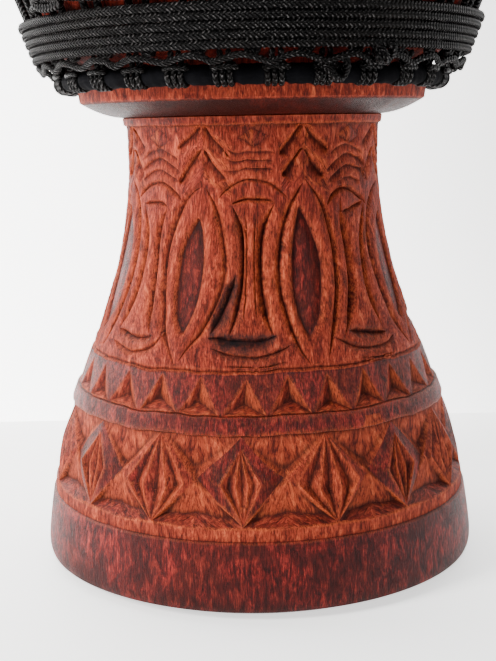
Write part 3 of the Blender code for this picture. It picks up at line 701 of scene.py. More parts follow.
def wood_mesh():
    """The whole wood as one closed mesh: places, triangles, and each one's tone, lean, turn and burn."""
    chart = Chart()
    chart.ring(CHART_LOW, 0.0, COLUMNS)
    chart.paint_band(CHART_LOW, DIAMOND_Z, 0.1)
    chart.ring(DIAMOND_Z, 0.0)
    carve_diamonds(chart)
    carve_raised_band(chart)
    carve_triangles(chart)
    carve_panels(chart)
    carve_chevrons(chart)
    places, faces = refine(chart)

    angles, heights, depths = places.T
    centre_a, centre_z = angles[faces].mean(1), heights[faces].mean(1)
    finish = np.zeros((len(faces), 4))
    for outline, tone, lean, burn in chart.areas:
        found = inside(outline, centre_a, centre_z)
        finish[found] = (tone, lean, outline[:, 0].mean() if lean else 0.0, burn)

    warp = np.array([(0.5 * wave(1, a, 40), 0.7 * wave(2, a, 26) + 0.35 * wave(3, a, 90)) for a in angles])
    fade = np.clip(np.minimum(heights - CHART_LOW - 1, LEDGE_Z - 1.5 - heights) / 8, 0, 1)
    shown_a = angles + warp[:, 0] * fade
    shown_z = heights + warp[:, 1] * fade
    radius = np.array([outer_radius(z) for z in shown_z]) - depths
    turn = np.radians(shown_a)
    carved = np.stack([radius * np.sin(turn), -radius * np.cos(turn), shown_z], 1)

    profile = plain_profile()
    columns = np.radians(-SEAM + 360 * np.arange(COLUMNS) / COLUMNS)
    plain = np.array([(r * math.sin(t), -r * math.cos(t), z) for r, z in profile for t in columns])
    verts = np.concatenate([carved, plain])
    edge, seam_left = {}, {}
    for i, (angle, z) in enumerate(zip(angles, heights)):
        if z in (CHART_LOW, LEDGE_Z):
            edge[(round((angle + SEAM) * COLUMNS / 360) % COLUMNS, z)] = i
        if angle <= -SEAM + 0.001:
            seam_left[round(z, 3)] = i
    rows = [[edge[(c, LEDGE_Z)] for c in range(COLUMNS)]]
    rows += [[len(carved) + r * COLUMNS + c for c in range(COLUMNS)] for r in range(len(profile))]
    rows.append([edge[(c, CHART_LOW)] for c in range(COLUMNS)])
    plain_faces = halved(grid_quads(np.array(rows), False))
    tones = [row_tone(*place) for place in profile]
    plain_finish = np.zeros((len(plain_faces), 4))
    plain_finish[:, 0] = np.tile(np.repeat(tones + tones[-1:], COLUMNS), 2)

    merged = np.arange(len(verts))
    for i, (angle, z) in enumerate(zip(angles, heights)):
        if angle >= SEAM - 0.001:
            merged[i] = seam_left.get(round(z, 3), i)
    all_faces = merged[np.concatenate([faces, plain_faces])]
    return verts, all_faces, np.concatenate([finish, plain_finish])


def row_tone(radius, z):
    """How polished the plain wood is at this radius and height of its outline."""
    if radius < outer_radius(min(max(z, 0.0), TOP_Z)) - 6:
        return 0.15
    if z < STRIP_Z:
        return 1.0
    if LEDGE_Z <= z < RIM_Z - 0.3:
        return 0.97
    if z <= BEVEL_Z + 0.5:
        return 0.12
    return 0.75


def mesh_from(name, verts, faces):
    """A mesh of triangles or quads from arrays, in metres."""
    mesh = bpy.data.meshes.new(name)
    sides = faces.shape[1]
    mesh.vertices.add(len(verts))
    mesh.vertices.foreach_set("co", (verts * MM).astype(np.float32).ravel())
    mesh.loops.add(faces.size)
    mesh.loops.foreach_set("vertex_index", faces.astype(np.int32).ravel())
    mesh.polygons.add(len(faces))
    mesh.polygons.foreach_set("loop_start", np.arange(0, faces.size, sides, dtype=np.int32))
    mesh.polygons.foreach_set("use_smooth", np.ones(len(faces), bool))
    mesh.update(calc_edges=True)
    mesh.validate()
    return mesh


def new_piece(name, mesh, node, material):
    """A visible piece on the root body, in the place of one of the solids."""
    piece = bpy.data.objects.new(name, mesh)
    bpy.context.scene.collection.objects.link(piece)
    mesh.materials.append(material)
    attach(piece, "root")
    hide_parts(node)
    return piece


def edge_pairs(faces):
    """Each edge once, as its two vertices."""
    pairs = np.concatenate([faces[:, [i, (i + 1) % faces.shape[1]]] for i in range(faces.shape[1])])
    pairs.sort(axis=1)
    return np.unique(pairs, axis=0)


def smoothed(values, pairs, rounds):
    """Values at the vertices, each moved to the mean of its neighbours and itself, some times over."""
    count = len(values)
    degree = np.zeros(count)
    np.add.at(degree, pairs.ravel(), 1)
    degree = np.maximum(degree, 1)
    flat = values.reshape(count, -1)
    for _ in range(rounds):
        total = np.zeros_like(flat)
        for column in range(flat.shape[1]):
            total[:, column] = np.bincount(pairs[:, 0], flat[pairs[:, 1], column], count)
            total[:, column] += np.bincount(pairs[:, 1], flat[pairs[:, 0], column], count)
        flat = 0.5 * flat + 0.5 * total / degree[:, None]
    return flat.reshape(values.shape)


def round_edges(verts, pairs):
    """Softens the whole surface a little, and wears down the edges between the panels and the collar."""
    verts += 0.2 * (smoothed(verts, pairs, 1) - verts)
    radial = np.hypot(verts[:, 0], verts[:, 1])
    worn_down = np.minimum(smoothed(radial, pairs, 10) - radial, 0)
    flowing = np.clip(np.minimum(verts[:, 2] - PANEL_Z - 1, COLLAR_Z - verts[:, 2]) / 3, 0, 1)
    rounded = radial + 0.85 * flowing * worn_down
    verts[:, :2] *= (rounded / radial)[:, None]
    return rounded


def hollows_and_ridges(radial, heights, pairs):
    """Painted shade at each vertex from 0 to 1: in the carving's hollows, under the ledge, and on the foot,
    darker towards its bottom. And how far each vertex lies on a ridge, from 0 to 1, where worn edges get a
    painted highlight.
    """
    wide = smoothed(radial, pairs, 12)
    near = smoothed(radial, pairs, 2)
    on_outside = radial > np.array([outer_radius(min(max(z, 0), TOP_Z)) for z in heights]) - 6.5
    # Painted shade, deepest in the carving's hollows and grooves.
    hollow = np.clip((wide - radial) * 0.9, 0, 1) + np.clip((near - radial) * 2.4, 0, 1)
    hollow = np.where(on_outside, np.clip(hollow, 0, 1), 0)
    carved_zone = (heights > STRIP_Z) & (heights < LEDGE_Z)
    hollow = smoothed(hollow * carved_zone, pairs, 1)
    # The underside of the ledge gets painted shade.
    under_ledge = (heights > LEDGE_Z - 0.2) & (heights < RIM_Z - 0.1) & on_outside
    hollow = np.where(under_ledge, 0.86, hollow)
    # The foot is painted darker towards its bottom, and a little all over.
    foot_dark = 0.08 + 0.7 * np.clip((13 - heights) / 13, 0, 1)
    hollow = np.where(on_outside & (heights < STRIP_Z - 0.5), foot_dark, hollow)
    # Ridges: worn edges that are also painted pale as a highlight.
    ridge_wear_and_highlight = np.where(on_outside, np.clip((radial - near) * 3.2, 0, 1), 0)
    return hollow, ridge_wear_and_highlight * (carved_zone | (heights > 40) & (heights < 46))


def grain_places(corners, lean, turn):
    """Each face's corners in its own axes: across the grain, out of the wood and along the grain."""
    side = np.stack([np.cos(turn), np.sin(turn), np.zeros_like(turn)], 1)
    out = np.stack([np.sin(turn), -np.cos(turn), np.zeros_like(turn)], 1)
    up = np.array([0.0, 0.0, 1.0])
    along = np.cos(lean)[:, None] * up + np.sin(lean)[:, None] * side
    across = np.cos(lean)[:, None] * side - np.sin(lean)[:, None] * up
    return np.stack([np.einsum("fcx,fx->fc", corners, axis) for axis in (across, out, along)], -1)


def add_layer(mesh, name, kind, domain, values):
    """Stores numbers, or vectors, with the mesh's points, faces or corners."""
    layer = mesh.attributes.new(name, kind, domain)
    field = "vector" if kind == "FLOAT_VECTOR" else "value"
    layer.data.foreach_set(field, values.astype(np.float32).ravel())


def make_wood(material):
    """The carved wood, with layers that tell its material where to paint shade in the hollows and under the
    ledge, where the foot is darker, where its ridges are worn and painted as highlights, and where it is
    charred and polished.
    """
    verts, faces, finish = wood_mesh()
    used = np.unique(faces)
    index = np.full(len(verts), -1)
    index[used] = np.arange(len(used))
    verts, faces = verts[used], index[faces]
    pairs = edge_pairs(faces)
    radial = round_edges(verts, pairs)
    hollow, ridge_wear_and_highlight = hollows_and_ridges(radial, verts[:, 2], pairs)
    burn = np.zeros(len(verts))
    np.maximum.at(burn, faces.ravel(), np.repeat(finish[:, 3], 3))
    burn = np.clip(smoothed(burn, pairs, 3) * 1.2, 0, 1)
    mesh = mesh_from("djembe_shell", verts, faces)
    for name, values in (("hollow", hollow), ("ridge_wear_and_highlight", ridge_wear_and_highlight), ("burn", burn)):
        add_layer(mesh, name, "FLOAT", "POINT", values)
    add_layer(mesh, "tone", "FLOAT", "FACE", finish[:, 0])
    mesh.set_sharp_from_angle(angle=math.radians(34))
    grain = grain_places(verts[faces], np.radians(finish[:, 1]), np.radians(finish[:, 2]))
    add_layer(mesh, "grain", "FLOAT_VECTOR", "CORNER", grain)
    return new_piece("djembe_shell", mesh, "shell", material)


def frames(points, closed, facing):
    """Unit vectors along a path, out of it and across it, at each of its points.

    Out is away from the drum's axis, or for a rope round a ring, away from the ring.
    """
    if closed:
        ahead, behind = np.roll(points, -1, axis=0), np.roll(points, 1, axis=0)
    else:
        ahead, behind = np.vstack([points[1:], points[-1:]]), np.vstack([points[:1], points[:-1]])
    along = ahead - behind
    along /= np.linalg.norm(along, axis=1)[:, None]
    radial = points * (1, 1, 0)
    radial /= np.linalg.norm(radial, axis=1)[:, None]
    if facing == "round":
        guide = np.stack([-radial[:, 1], radial[:, 0], np.zeros(len(points))], 1)
    else:
        guide = radial
    across = np.cross(along, guide)
    across /= np.linalg.norm(across, axis=1)[:, None]
    out = np.cross(across, along)
    return along, out, across


def resampled(points, closed, step):
    """The smooth path through the points, with a point every step."""
    points = np.array(points, float)
    padded = np.vstack([points[-1:], points, points[:2]]) if closed else with_ends(points)
    dense = []
    for p0, p1, p2, p3 in zip(padded, padded[1:], padded[2:], padded[3:]):
        dense += smooth_step(p0, p1, p2, p3, max(2, int(np.linalg.norm(p2 - p1) / step) + 1))
    if not closed:
        dense.append(points[-1])
    dense = np.array(dense)
    loop = np.vstack([dense, dense[:1]]) if closed else dense
    reach = np.concatenate([[0], np.cumsum(np.linalg.norm(np.diff(loop, axis=0), axis=1))])
    count = max(3, round(reach[-1] / step))
    marks = np.linspace(0, reach[-1], count + 1)[: count if closed else count + 1]
    return np.stack([np.interp(marks, reach, loop[:, k]) for k in range(3)], 1), marks


BRAID_PITCH = 2.5
BRAID_SLANT = 0.9


def braid_height(along, angle):
    """The braid's relief from 0 to 1: slanted strands that meet in a V along the rope's face."""
    side = np.abs(np.sin(angle))
    strand = (along / BRAID_PITCH - side * BRAID_SLANT) % 1.0
    return np.sin(np.pi * strand) ** 0.7 * (0.55 + 0.45 * side**0.5)


def braid_uvs(marks, sides, closed, step):
    """For each quad of a rope's side: how many strands along, and what share of the way round."""
    reach = np.append(marks, marks[-1] + step) if closed else marks
    uv = np.zeros((len(reach) - 1, sides, 4, 2))
    uv[:, :, 0, 0] = uv[:, :, 1, 0] = reach[:-1, None] / BRAID_PITCH
    uv[:, :, 2, 0] = uv[:, :, 3, 0] = reach[1:, None] / BRAID_PITCH
    uv[:, :, 0, 1] = uv[:, :, 3, 1] = np.arange(sides) / sides
    uv[:, :, 1, 1] = uv[:, :, 2, 1] = (np.arange(sides) + 1) / sides
    return uv.reshape(-1, 4, 2)


def rope_piece(name, node, runs, material, step, radius=ROPE_RADIUS, sides=8, relief=0.0):
    """Runs of rope as one mesh; each run is (points, closed, facing), and its UVs follow the braid."""
    verts, faces, uvs = [], [], []
    count = 0
    angles = math.tau * np.arange(sides) / sides
    mean_height, end_size, tip_out = 0.6, 0.55, 0.6
    for points, closed, facing in runs:
        path, marks = resampled(points, closed, step)
        along, out, across = frames(path, closed, facing)
        size = radius * np.ones((len(path), sides))
        if relief:
            size += relief * (braid_height(marks[:, None], angles[None, :]) - mean_height)
        if not closed:
            size[[0, -1]] *= end_size
        round_it = (np.cos(angles)[None, :, None] * out[:, None, :]
                    + np.sin(angles)[None, :, None] * across[:, None, :])
        verts.append((path[:, None, :] + size[..., None] * round_it).reshape(-1, 3))
        index = count + np.arange(len(path) * sides).reshape(-1, sides)
        faces.append(grid_quads(index, closed))
        uvs.append(braid_uvs(marks, sides, closed, step))
        count += index.size
        if not closed:
            for end, way in ((0, -1), (-1, 1)):
                verts.append((path[end] + way * along[end] * tip_out)[None, :])
                tip = np.full(sides, count)
                fan = np.stack([index[end], np.roll(index[end], -1), tip, tip], -1)
                faces.append(fan if way > 0 else fan[:, [1, 0, 2, 3]])
                uvs.append(np.zeros((sides, 4, 2)))
                count += 1
    triangles, corner_uvs = halved(np.concatenate(faces)), halved(np.concatenate(uvs))
    keep = (triangles[:, 1] != triangles[:, 2]) & (triangles[:, 0] != triangles[:, 2])
    mesh = mesh_from(name, np.concatenate(verts), triangles[keep])
    layer = mesh.uv_layers.new(name="braid")
    layer.data.foreach_set("uv", corner_uvs[keep].astype(np.float32).ravel())
    return new_piece(name, mesh, node, material)


def along_bowl(reach, off):
    """(radius, z) at this reach up the slope of the lacing from its foot, and this far off it."""
    rise, run = LACING_BELLY[1] - LACING_FOOT[1], LACING_BELLY[0] - LACING_FOOT[0]
    length = math.hypot(rise, run)
    return (LACING_FOOT[0] + run / length * reach + rise / length * off,
            LACING_FOOT[1] + rise / length * reach - run / length * off)


def make_winding(material):
    """The rope's long end: turns laid against each other, and a loose loop that ties it off at the left."""
    pitch = 2 * WINDING_ROPE * 0.985
    points = []
    steps, start = 120, -175
    for i in range(steps * WINDING_TURNS + 1):
        turns = i / steps
        angle = start + turns * 360
        sway = 0.35 * wave(20 + int(turns), angle, 9) * (0.3 + 0.12 * turns)
        lift = 0.0375 * math.cos(math.radians(angle - HITCH_PHASE) * HITCHES)
        reach = (turns + 0.02) * pitch + sway + 0.3
        points.append(on_drum(angle, *along_bowl(reach, WINDING_OUT + lift)))
    loop = [(-60, 27.2, 4.0), (-56, 29.6, 4.4), (-51.5, 31.6, 5.0), (-47.5, 31.0, 5.4), (-46, 28.8, 5.6),
            (-49, 27.4, 6.8), (-53, 28.2, 7.2), (-55, 31, 6.6), (-52, 33.6, 6.0), (-47, 33.2, 5.4),
            (-41, 31.0, 4.8), (-34, 29.8, 4.4), (-26, 28.9, 4.4), (-18, 28.5, 4.4), (-8, 28.4, 4.4),
            (4, 28.6, 4.4)]
    tie = [on_drum(angle, *along_bowl(reach, off)) for angle, reach, off in loop]
    runs = [(points, False, "out"), (tie, False, "out")]
    return rope_piece("rope_winding_braid", "rope_winding", runs, material, 0.5, WINDING_ROPE, relief=0.42)


def make_lacing(material):
    """One rope up and down between the rings, in strands that part from the foot to the top."""
    foot, belly, top = LACING_FOOT, LACING_BELLY, LACING_TOP
    strand = (
        (0.55, foot[0] - 0.6, foot[1] - 1.6),
        (1.3, *foot),
        (HITCH_PITCH * 0.2, (foot[0] + belly[0]) / 2 + 0.4, (foot[1] + belly[1]) / 2),
        (HITCH_PITCH * 0.3, *belly),
        (HITCH_PITCH * 0.36, (top[0] + belly[0]) / 2 + 0.3, (top[1] + belly[1]) / 2),
        (HITCH_PITCH / 2 - 1.3, *top),
        (HITCH_PITCH / 2 - 0.6, top[0] + 0.3, top[1] + 1.8),
    )
    points = []
    for i in range(HITCHES):
        middle = HITCH_PHASE + (i + 0.5) * HITCH_PITCH
        points += [on_drum(middle - away, radius, z) for away, radius, z in strand[::-1]]
        points += [on_drum(middle + away, radius, z) for away, radius, z in strand]
    return rope_piece("lacing_rope", "lacing", [(points, True, "out")], material, 1.3)


def tangle(angle, radius, z, size):
    """A knot's run of rope, that crosses itself round one place; size is its reach across, up and out."""
    points = []
    for i in range(30):
        turn = math.tau * i / 30
        across = size[0] * math.sin(2 * turn + 0.4)
        up = size[1] * math.cos(3 * turn)
        out = size[2] * math.sin(5 * turn)
        points.append(on_drum(angle + math.degrees(across / radius), radius + out, z + up))
    return points


def make_woven_rope(material):
    """The start of the long end, in a wave that dips in front of each pair of strands."""
    draw = random.Random(21)
    points = []
    for i in range(HITCHES):
        angle = HITCH_PHASE - 2.5 + i * HITCH_PITCH + draw.uniform(-0.7, 0.7)
        dip = draw.uniform(-0.5, 0.5)
        points.append(on_drum(angle, 124.2, 293.9 + dip))
        points.append(on_drum(angle + 0.25 * HITCH_PITCH, 125.0, 295.8))
        points.append(on_drum(angle + 0.5 * HITCH_PITCH, 126.4, 297.2 + draw.uniform(-0.3, 0.3)))
        points.append(on_drum(angle + 0.75 * HITCH_PITCH, 125.4, 296.2))
    runs = [(points, True, "out")]
    runs.append((tangle(19.8, 120.3, 290.2, (7.6, 5.4, 2.6)), True, "out"))
    runs.append((tangle(32.0, 127.4, 297.6, (4.6, 4.4, 3.0)), True, "out"))
    return rope_piece("woven_wave_rope", "woven_rope", runs, material, 0.55, WAVE_ROPE, 10, 0.35)


def around_ring(ring, angle, bend, reach, way):
    """A place round a ring's tube; way is 1 where the rope's strands lead up and -1 where they lead down."""
    turn = math.radians(bend)
    return on_drum(angle, ring[0] + reach * math.cos(turn), ring[1] - way * reach * math.sin(turn))


def make_hitches(name, node, ring, way, material):
    """At each hitch: three turns of rope round the ring, a bar across them, two strands leading away."""
    draw = random.Random(31 if way > 0 else 41)
    reach = RING_PRESSED + HITCH_ROPE + 0.1
    degree = 180 / (math.pi * ring[0])
    turn_slant, bar_reach = 2.2, 5.0
    runs = []
    for i in range(HITCHES):
        angle = HITCH_PHASE + i * HITCH_PITCH + draw.uniform(-0.6, 0.6)
        for k in (-1, 0, 1):
            offset = angle + k * 3.5 * degree
            turn = [around_ring(ring, offset + (bend / 360 - 0.5) * turn_slant * degree, bend, reach, way)
                    for bend in range(-30, 331, 40)]
            runs.append((turn, False, "round"))
        bar = []
        for share in (-1.35, -1.0, -0.5, 0, 0.5, 1.0, 1.35):
            out = reach + 2.6 - 2.6 * max(0, abs(share) - 0.7) ** 1.2
            bend = -28 + draw.uniform(-3, 3)
            bar.append(around_ring(ring, angle + share * bar_reach * degree, bend, out, way))
        runs.append((bar, False, "out"))
        for side in (-1, 1):
            strand = [
                around_ring(ring, angle + side * 2.3 * degree, -60, reach + 0.2, way),
                on_drum(angle + side * 2.2 * degree, ring[0] + 3.4, ring[1] + way * 7.6),
                on_drum(angle + side * 2.1 * degree, ring[0] + 6.5, ring[1] + way * 12.0),
            ]
            runs.append((strand, False, "out"))
    return rope_piece(name, node, runs, material, 0.9, HITCH_ROPE)


def make_ring(name, node, ring, material):
    """A hoop wound with black cloth, which bulges between the hitches."""
    around, sides = 672, 20
    verts = np.zeros((around, sides, 3))
    for i in range(around):
        angle = i * 360 / around
        share = ((angle - HITCH_PHASE) / HITCH_PITCH) % 1.0
        bulge = min(1.0, 1.5 * math.sin(math.pi * share) ** 1.6)
        for k in range(sides):
            bend = k * math.tau / sides
            fold = 0.16 * math.sin(angle * 2.1 + bend * 2 + 2 * wave(5, angle, 30))
            size = RING_PRESSED + (RING_TUBE + 0.7 - RING_PRESSED) * bulge + fold
            verts[i, k] = on_drum(angle, ring[0] + size * math.cos(bend), ring[1] + size * math.sin(bend))
    quads = grid_quads(np.arange(around * sides).reshape(around, sides), True)
    mesh = mesh_from(name, verts.reshape(-1, 3), quads[:, [0, 3, 2, 1]])
    return new_piece(name, mesh, node, material)


def make_skin(material):
    """The goatskin: flat on top, down over the bearing edge, gathered a little and rolled at its hem."""
    profile = [(radius, 602.1) for radius in (0.01, 30, 60, 90, 120, 140, 155)]
    for turn in (0.2, 0.5, 0.8, 1.1, 1.4):
        profile.append((165.1 + 5 * math.sin(turn), 597.1 + 5 * math.cos(turn)))
    profile += [(170.1, z) for z in (594, 588, 580, 572, 565, 560, 556, 552, 549)]
    profile += [(170.4, 547.0), (172.4, 546.2), (175.2, 545.2), (177.0, 543.2), (177.2, 541.2),
                (175.6, 539.0), (173.0, 537.8), (170.6, 537.6), (169.0, 538.4)]
    outside = len(profile)
    profile += [(168.75, z) for z in (545, 560, 580, 592)]
    profile += [(163.2, 600.8), (150, 600.7), (100, 600.7), (50, 600.7), (0.01, 600.7)]
    columns, gather, gather_z = 336, 0.35, 590
    verts = np.zeros((len(profile), columns, 3))
    for i, (radius, z) in enumerate(profile):
        for k in range(columns):
            angle = k * 360 / columns
            pleat = math.cos(math.radians(angle - HITCH_PHASE) * HITCHES)
            reach = gather * max(0.0, min(1.0, (gather_z - z) / 40)) if i < outside else 0.0
            verts[i, k] = on_drum(angle, radius + reach * pleat, z)
    quads = grid_quads(np.arange(len(profile) * columns).reshape(-1, columns), False)
    mesh = mesh_from("goatskin_head", verts.reshape(-1, 3), quads)
    return new_piece("goatskin_head", mesh, "drumhead", material)


class Nodes:
    """A short way to write a material's node tree."""

    def __init__(self, name):
        self.material = bpy.data.materials.new(name)
        self.material.use_nodes = True
        self.tree = self.material.node_tree
        self.shader = self.tree.nodes["Principled BSDF"]

    def node(self, kind, **values):
        made = self.tree.nodes.new(kind)
        for name, value in values.items():
            setattr(made, name, value)
        return made

    def link(self, source, target):
        self.tree.links.new(source, target)

    def feed(self, socket, value):
        if isinstance(value, bpy.types.NodeSocket):
            self.link(value, socket)
        else:
            socket.default_value = value

    def attribute(self, name, output="Fac"):
        return self.node("ShaderNodeAttribute", attribute_name=name).outputs[output]

    def shade(self, name, value):
        """Sets one of the shader's own sockets, or links it."""
        self.feed(self.shader.inputs[name], value)

    def place(self):
        """The place on the object itself, in metres."""
        return self.node("ShaderNodeTexCoord").outputs["Object"]

    def maths(self, operation, a, b=0.0, clamp=False):
        made = self.node("ShaderNodeMath", operation=operation, use_clamp=clamp)
        self.feed(made.inputs[0], a)
        self.feed(made.inputs[1], b)
        return made.outputs[0]

    def times(self, a, b, clamp=False):
        return self.maths("MULTIPLY", a, b, clamp)

    def plus(self, a, b, clamp=False):
        return self.maths("ADD", a, b, clamp)

    def scaled(self, vector, scale):
        made = self.node("ShaderNodeVectorMath", operation="MULTIPLY")
        self.link(vector, made.inputs[0])
        made.inputs[1].default_value = scale
        return made.outputs[0]

    def noise(self, vector, scale, detail=4.0, roughness=0.6, distortion=0.0):
        made = self.node("ShaderNodeTexNoise")
        values = {"Vector": vector, "Scale": scale, "Detail": detail, "Roughness": roughness,
                  "Distortion": distortion}
        for name, value in values.items():
            self.feed(made.inputs[name], value)
        return made.outputs["Fac"]

    def ramp(self, value, stops):
        made = self.node("ShaderNodeValToRGB")
        elements = made.color_ramp.elements
        while len(elements) < len(stops):
            elements.new(0.5)
        for element, (position, colour) in zip(elements, stops):
            element.position = position
            element.color = (*colour, 1)
        self.link(value, made.inputs[0])
        return made.outputs[0]

    def mix(self, share, first, second):
        made = self.node("ShaderNodeMix", data_type="RGBA")
        self.feed(made.inputs[0], share)
        self.feed(made.inputs[6], first)
        self.feed(made.inputs[7], second)
        return made.outputs[2]

    def range(self, value, low, high, new_low=0.0, new_high=1.0):
        made = self.node("ShaderNodeMapRange")
        self.feed(made.inputs[0], value)
        for socket, number in zip(made.inputs[1:5], (low, high, new_low, new_high)):
            socket.default_value = number
        return made.outputs[0]

    def soft_gloss(self, level):
        """A weak gloss that fades where the surface turns away, as it does on rough wood and cord."""
        socket = self.shader.inputs["Specular IOR Level"]
        socket.default_value = level
        weight = self.node("ShaderNodeLayerWeight")
        weight.inputs["Blend"].default_value = 0.5
        self.link(self.range(weight.outputs["Facing"], 0.2, 0.95, level, 0.25 * level), socket)

    def bump(self, height, strength, distance):
        made = self.node("ShaderNodeBump")
        for name, value in (("Height", height), ("Strength", strength), ("Distance", distance)):
            self.feed(made.inputs[name], value)
        self.shade("Normal", made.outputs[0])


def wood_material():
    """Reddish hardwood: dark and polished on the high faces, orange and fibrous where it was cut, with
    painted shade in its hollows and worn ridges painted pale as highlights.
    """
    wood = Nodes("carved_hardwood")
    grain, place = wood.attribute("grain", "Vector"), wood.place()
    tone, hollow = wood.attribute("tone"), wood.attribute("hollow")
    ridge_wear_and_highlight, burn = wood.attribute("ridge_wear_and_highlight"), wood.attribute("burn")

    fine = wood.noise(wood.scaled(grain, (1.0, 0.4, 0.10)), 1.7, 4.0, 0.7, 0.15)
    streak = wood.noise(wood.scaled(grain, (1.0, 0.4, 0.28)), 0.34, 5.0, 0.68, 0.8)
    fibre = wood.plus(wood.times(fine, 0.42), wood.times(streak, 0.58))
    pores = wood.noise(wood.scaled(grain, (1.0, 0.4, 0.18)), 2.4, 3.0, 0.75)
    blotch = wood.noise(place, 38.0, 5.0, 0.62, 0.5)
    cloud = wood.noise(place, 15.0, 3.0, 0.5, 0.2)

    fresh = wood.ramp(fibre, [(0.37, (0.024, 0.003, 0.002)), (0.46, (0.12, 0.012, 0.006)),
                              (0.53, (0.24, 0.029, 0.013)), (0.64, (0.50, 0.105, 0.042))])
    polished = wood.ramp(fibre, [(0.37, (0.005, 0.0006, 0.0006)), (0.46, (0.042, 0.0025, 0.0022)),
                                 (0.53, (0.13, 0.008, 0.006)), (0.64, (0.38, 0.036, 0.024))])
    uneven = wood.plus(tone, wood.range(blotch, 0.3, 0.7, -0.26, 0.26))
    uneven = wood.plus(uneven, wood.range(cloud, 0.3, 0.7, -0.16, 0.16), clamp=True)
    newly_cut = wood.times(wood.range(tone, 0.0, 0.13, 0.42, 0.0), wood.range(fibre, 0.42, 0.58))
    stain = wood.times(wood.range(blotch, 0.40, 0.58, 0.75, 0.0), wood.range(tone, 0.7, 1.0))
    specks = wood.range(pores, 0.34, 0.46, 0.7, 0.0)
    # Worn ridges painted pale: partly wear, partly a painted highlight.
    wear_and_highlight = wood.times(ridge_wear_and_highlight, wood.range(pores, 0.4, 0.65, 0.0, 0.6), clamp=True)
    charred = wood.times(burn, wood.range(blotch, 0.25, 0.6, 1.5, 0.6), clamp=True)
    colour = wood.mix(uneven, fresh, polished)
    layers = (
        (newly_cut, (0.40, 0.085, 0.020, 1)),
        (stain, (0.016, 0.0012, 0.0012, 1)),
        (specks, (0.020, 0.003, 0.002, 1)),
        # Painted shade in the hollows and under the ledge, and the foot's darkening.
        (wood.times(hollow, 0.9), (0.012, 0.003, 0.002, 1)),
        # Worn ridges, with a painted highlight.
        (wear_and_highlight, (0.60, 0.12, 0.035, 1)),
        (charred, (0.006, 0.006, 0.007, 1)),
    )
    for share, layer in layers:
        colour = wood.mix(share, colour, layer)
    wood.shade("Base Color", colour)
    wood.shade("Roughness", wood.range(uneven, 0.2, 1.0, 0.66, 0.36))
    wood.bump(wood.plus(fibre, wood.times(pores, 0.7)), 0.75, 0.0011)
    wood.soft_gloss(0.10)
    return wood.material


def rope_material():
    """Black braided cord: slanted strands meeting in a V, with a slight gloss on each, a pale painted glint
    on its crest and painted shade between the strands.
    """
    rope = Nodes("black_braided_rope")
    uv = rope.node("ShaderNodeUVMap", uv_map="braid").outputs[0]
    split = rope.node("ShaderNodeSeparateXYZ")
    rope.link(uv, split.inputs[0])
    turn = rope.times(split.outputs[1], math.tau)
    side = rope.maths("ABSOLUTE", rope.maths("SINE", turn))
    strand = rope.maths("FRACT", rope.maths("SUBTRACT", split.outputs[0], rope.times(side, BRAID_SLANT)))
    crest = rope.maths("SINE", rope.times(strand, math.pi))
    height = rope.times(crest, rope.range(side, 0.0, 0.25, 0.45, 1.0))
    place = rope.place()
    fuzz = rope.noise(place, 900.0, 2.0)
    dust = rope.noise(place, 30.0, 3.0)
    # Painted light: pale glints on the strands' crests, and painted shade, darkest in the gaps between
    # strands.
    lit = rope.times(height, rope.range(fuzz, 0.38, 0.58, 0.3, 1.0))
    colour = rope.ramp(lit, [(0.2, (0.001, 0.001, 0.001)), (0.55, (0.0024, 0.002, 0.0022)),
                            (0.8, (0.008, 0.007, 0.007)), (1.0, (0.085, 0.08, 0.08))])
    colour = rope.mix(rope.range(dust, 0.45, 0.75, 0.0, 0.12), colour, (0.02, 0.015, 0.012, 1))
    rope.shade("Base Color", colour)
    rope.shade("Roughness", 0.34)
    rope.soft_gloss(0.06)
    rope.bump(height, 0.9, 0.0009)
    return rope.material


def cloth_material():
    """Dull black cloth, a little dusty."""
    cloth = Nodes("black_ring_cloth")
    place = cloth.place()
    weave = cloth.noise(place, 1400.0, 2.0)
    dust = cloth.noise(place, 60.0, 4.0)
    colour = cloth.ramp(dust, [(0.35, (0.0012, 0.0012, 0.0016)), (0.7, (0.004, 0.004, 0.005))])
    cloth.shade("Base Color", colour)
    cloth.shade("Roughness", 0.85)
    cloth.shade("Specular IOR Level", 0.03)
    cloth.bump(weave, 0.3, 0.0004)
    return cloth.material


def skin_material():
    """Pale goatskin, clouded, with fine darker specks."""
    skin = Nodes("natural_goatskin")
    place = skin.place()
    cloud = skin.noise(place, 7.0, 5.0, 0.6, 0.6)
    fine = skin.noise(place, 260.0, 4.0, 0.7)
    colour = skin.ramp(cloud, [(0.3, (0.50, 0.36, 0.20)), (0.5, (0.70, 0.57, 0.38)),
                              (0.7, (0.80, 0.71, 0.54))])
    colour = skin.mix(skin.range(fine, 0.3, 0.5, 0.35, 0.0), colour, (0.30, 0.20, 0.11, 1))
    skin.shade("Base Color", colour)
    skin.shade("Roughness", 0.55)
    skin.bump(fine, 0.35, 0.0006)
    return skin.material


def lit_backdrop(name, albedo, glow):
    """Pale, and lit from within; glow is how strongly at its left and at its right."""
    made = Nodes(name)
    made.shade("Base Color", (albedo, albedo, albedo * 0.995, 1))
    made.shade("Roughness", 0.6)
    split = made.node("ShaderNodeSeparateXYZ")
    made.link(made.place(), split.inputs[0])
    across = made.range(split.outputs[0], -0.25, 0.25, *glow)
    beyond = made.range(split.outputs[1], -0.50, -0.27)
    made.shade("Emission Color", (1, 1, 0.99, 1))
    made.shade("Emission Strength", made.times(across, beyond))
    return made


def one_sided(made):
    """The surface shows from its front alone, so that it never hides the drum from behind."""
    blend = made.node("ShaderNodeMixShader")
    made.link(made.node("ShaderNodeNewGeometry").outputs["Backfacing"], blend.inputs[0])
    made.link(made.shader.outputs[0], blend.inputs[1])
    made.link(made.node("ShaderNodeBsdfTransparent").outputs[0], blend.inputs[2])
    made.link(blend.outputs[0], made.tree.nodes["Material Output"].inputs["Surface"])


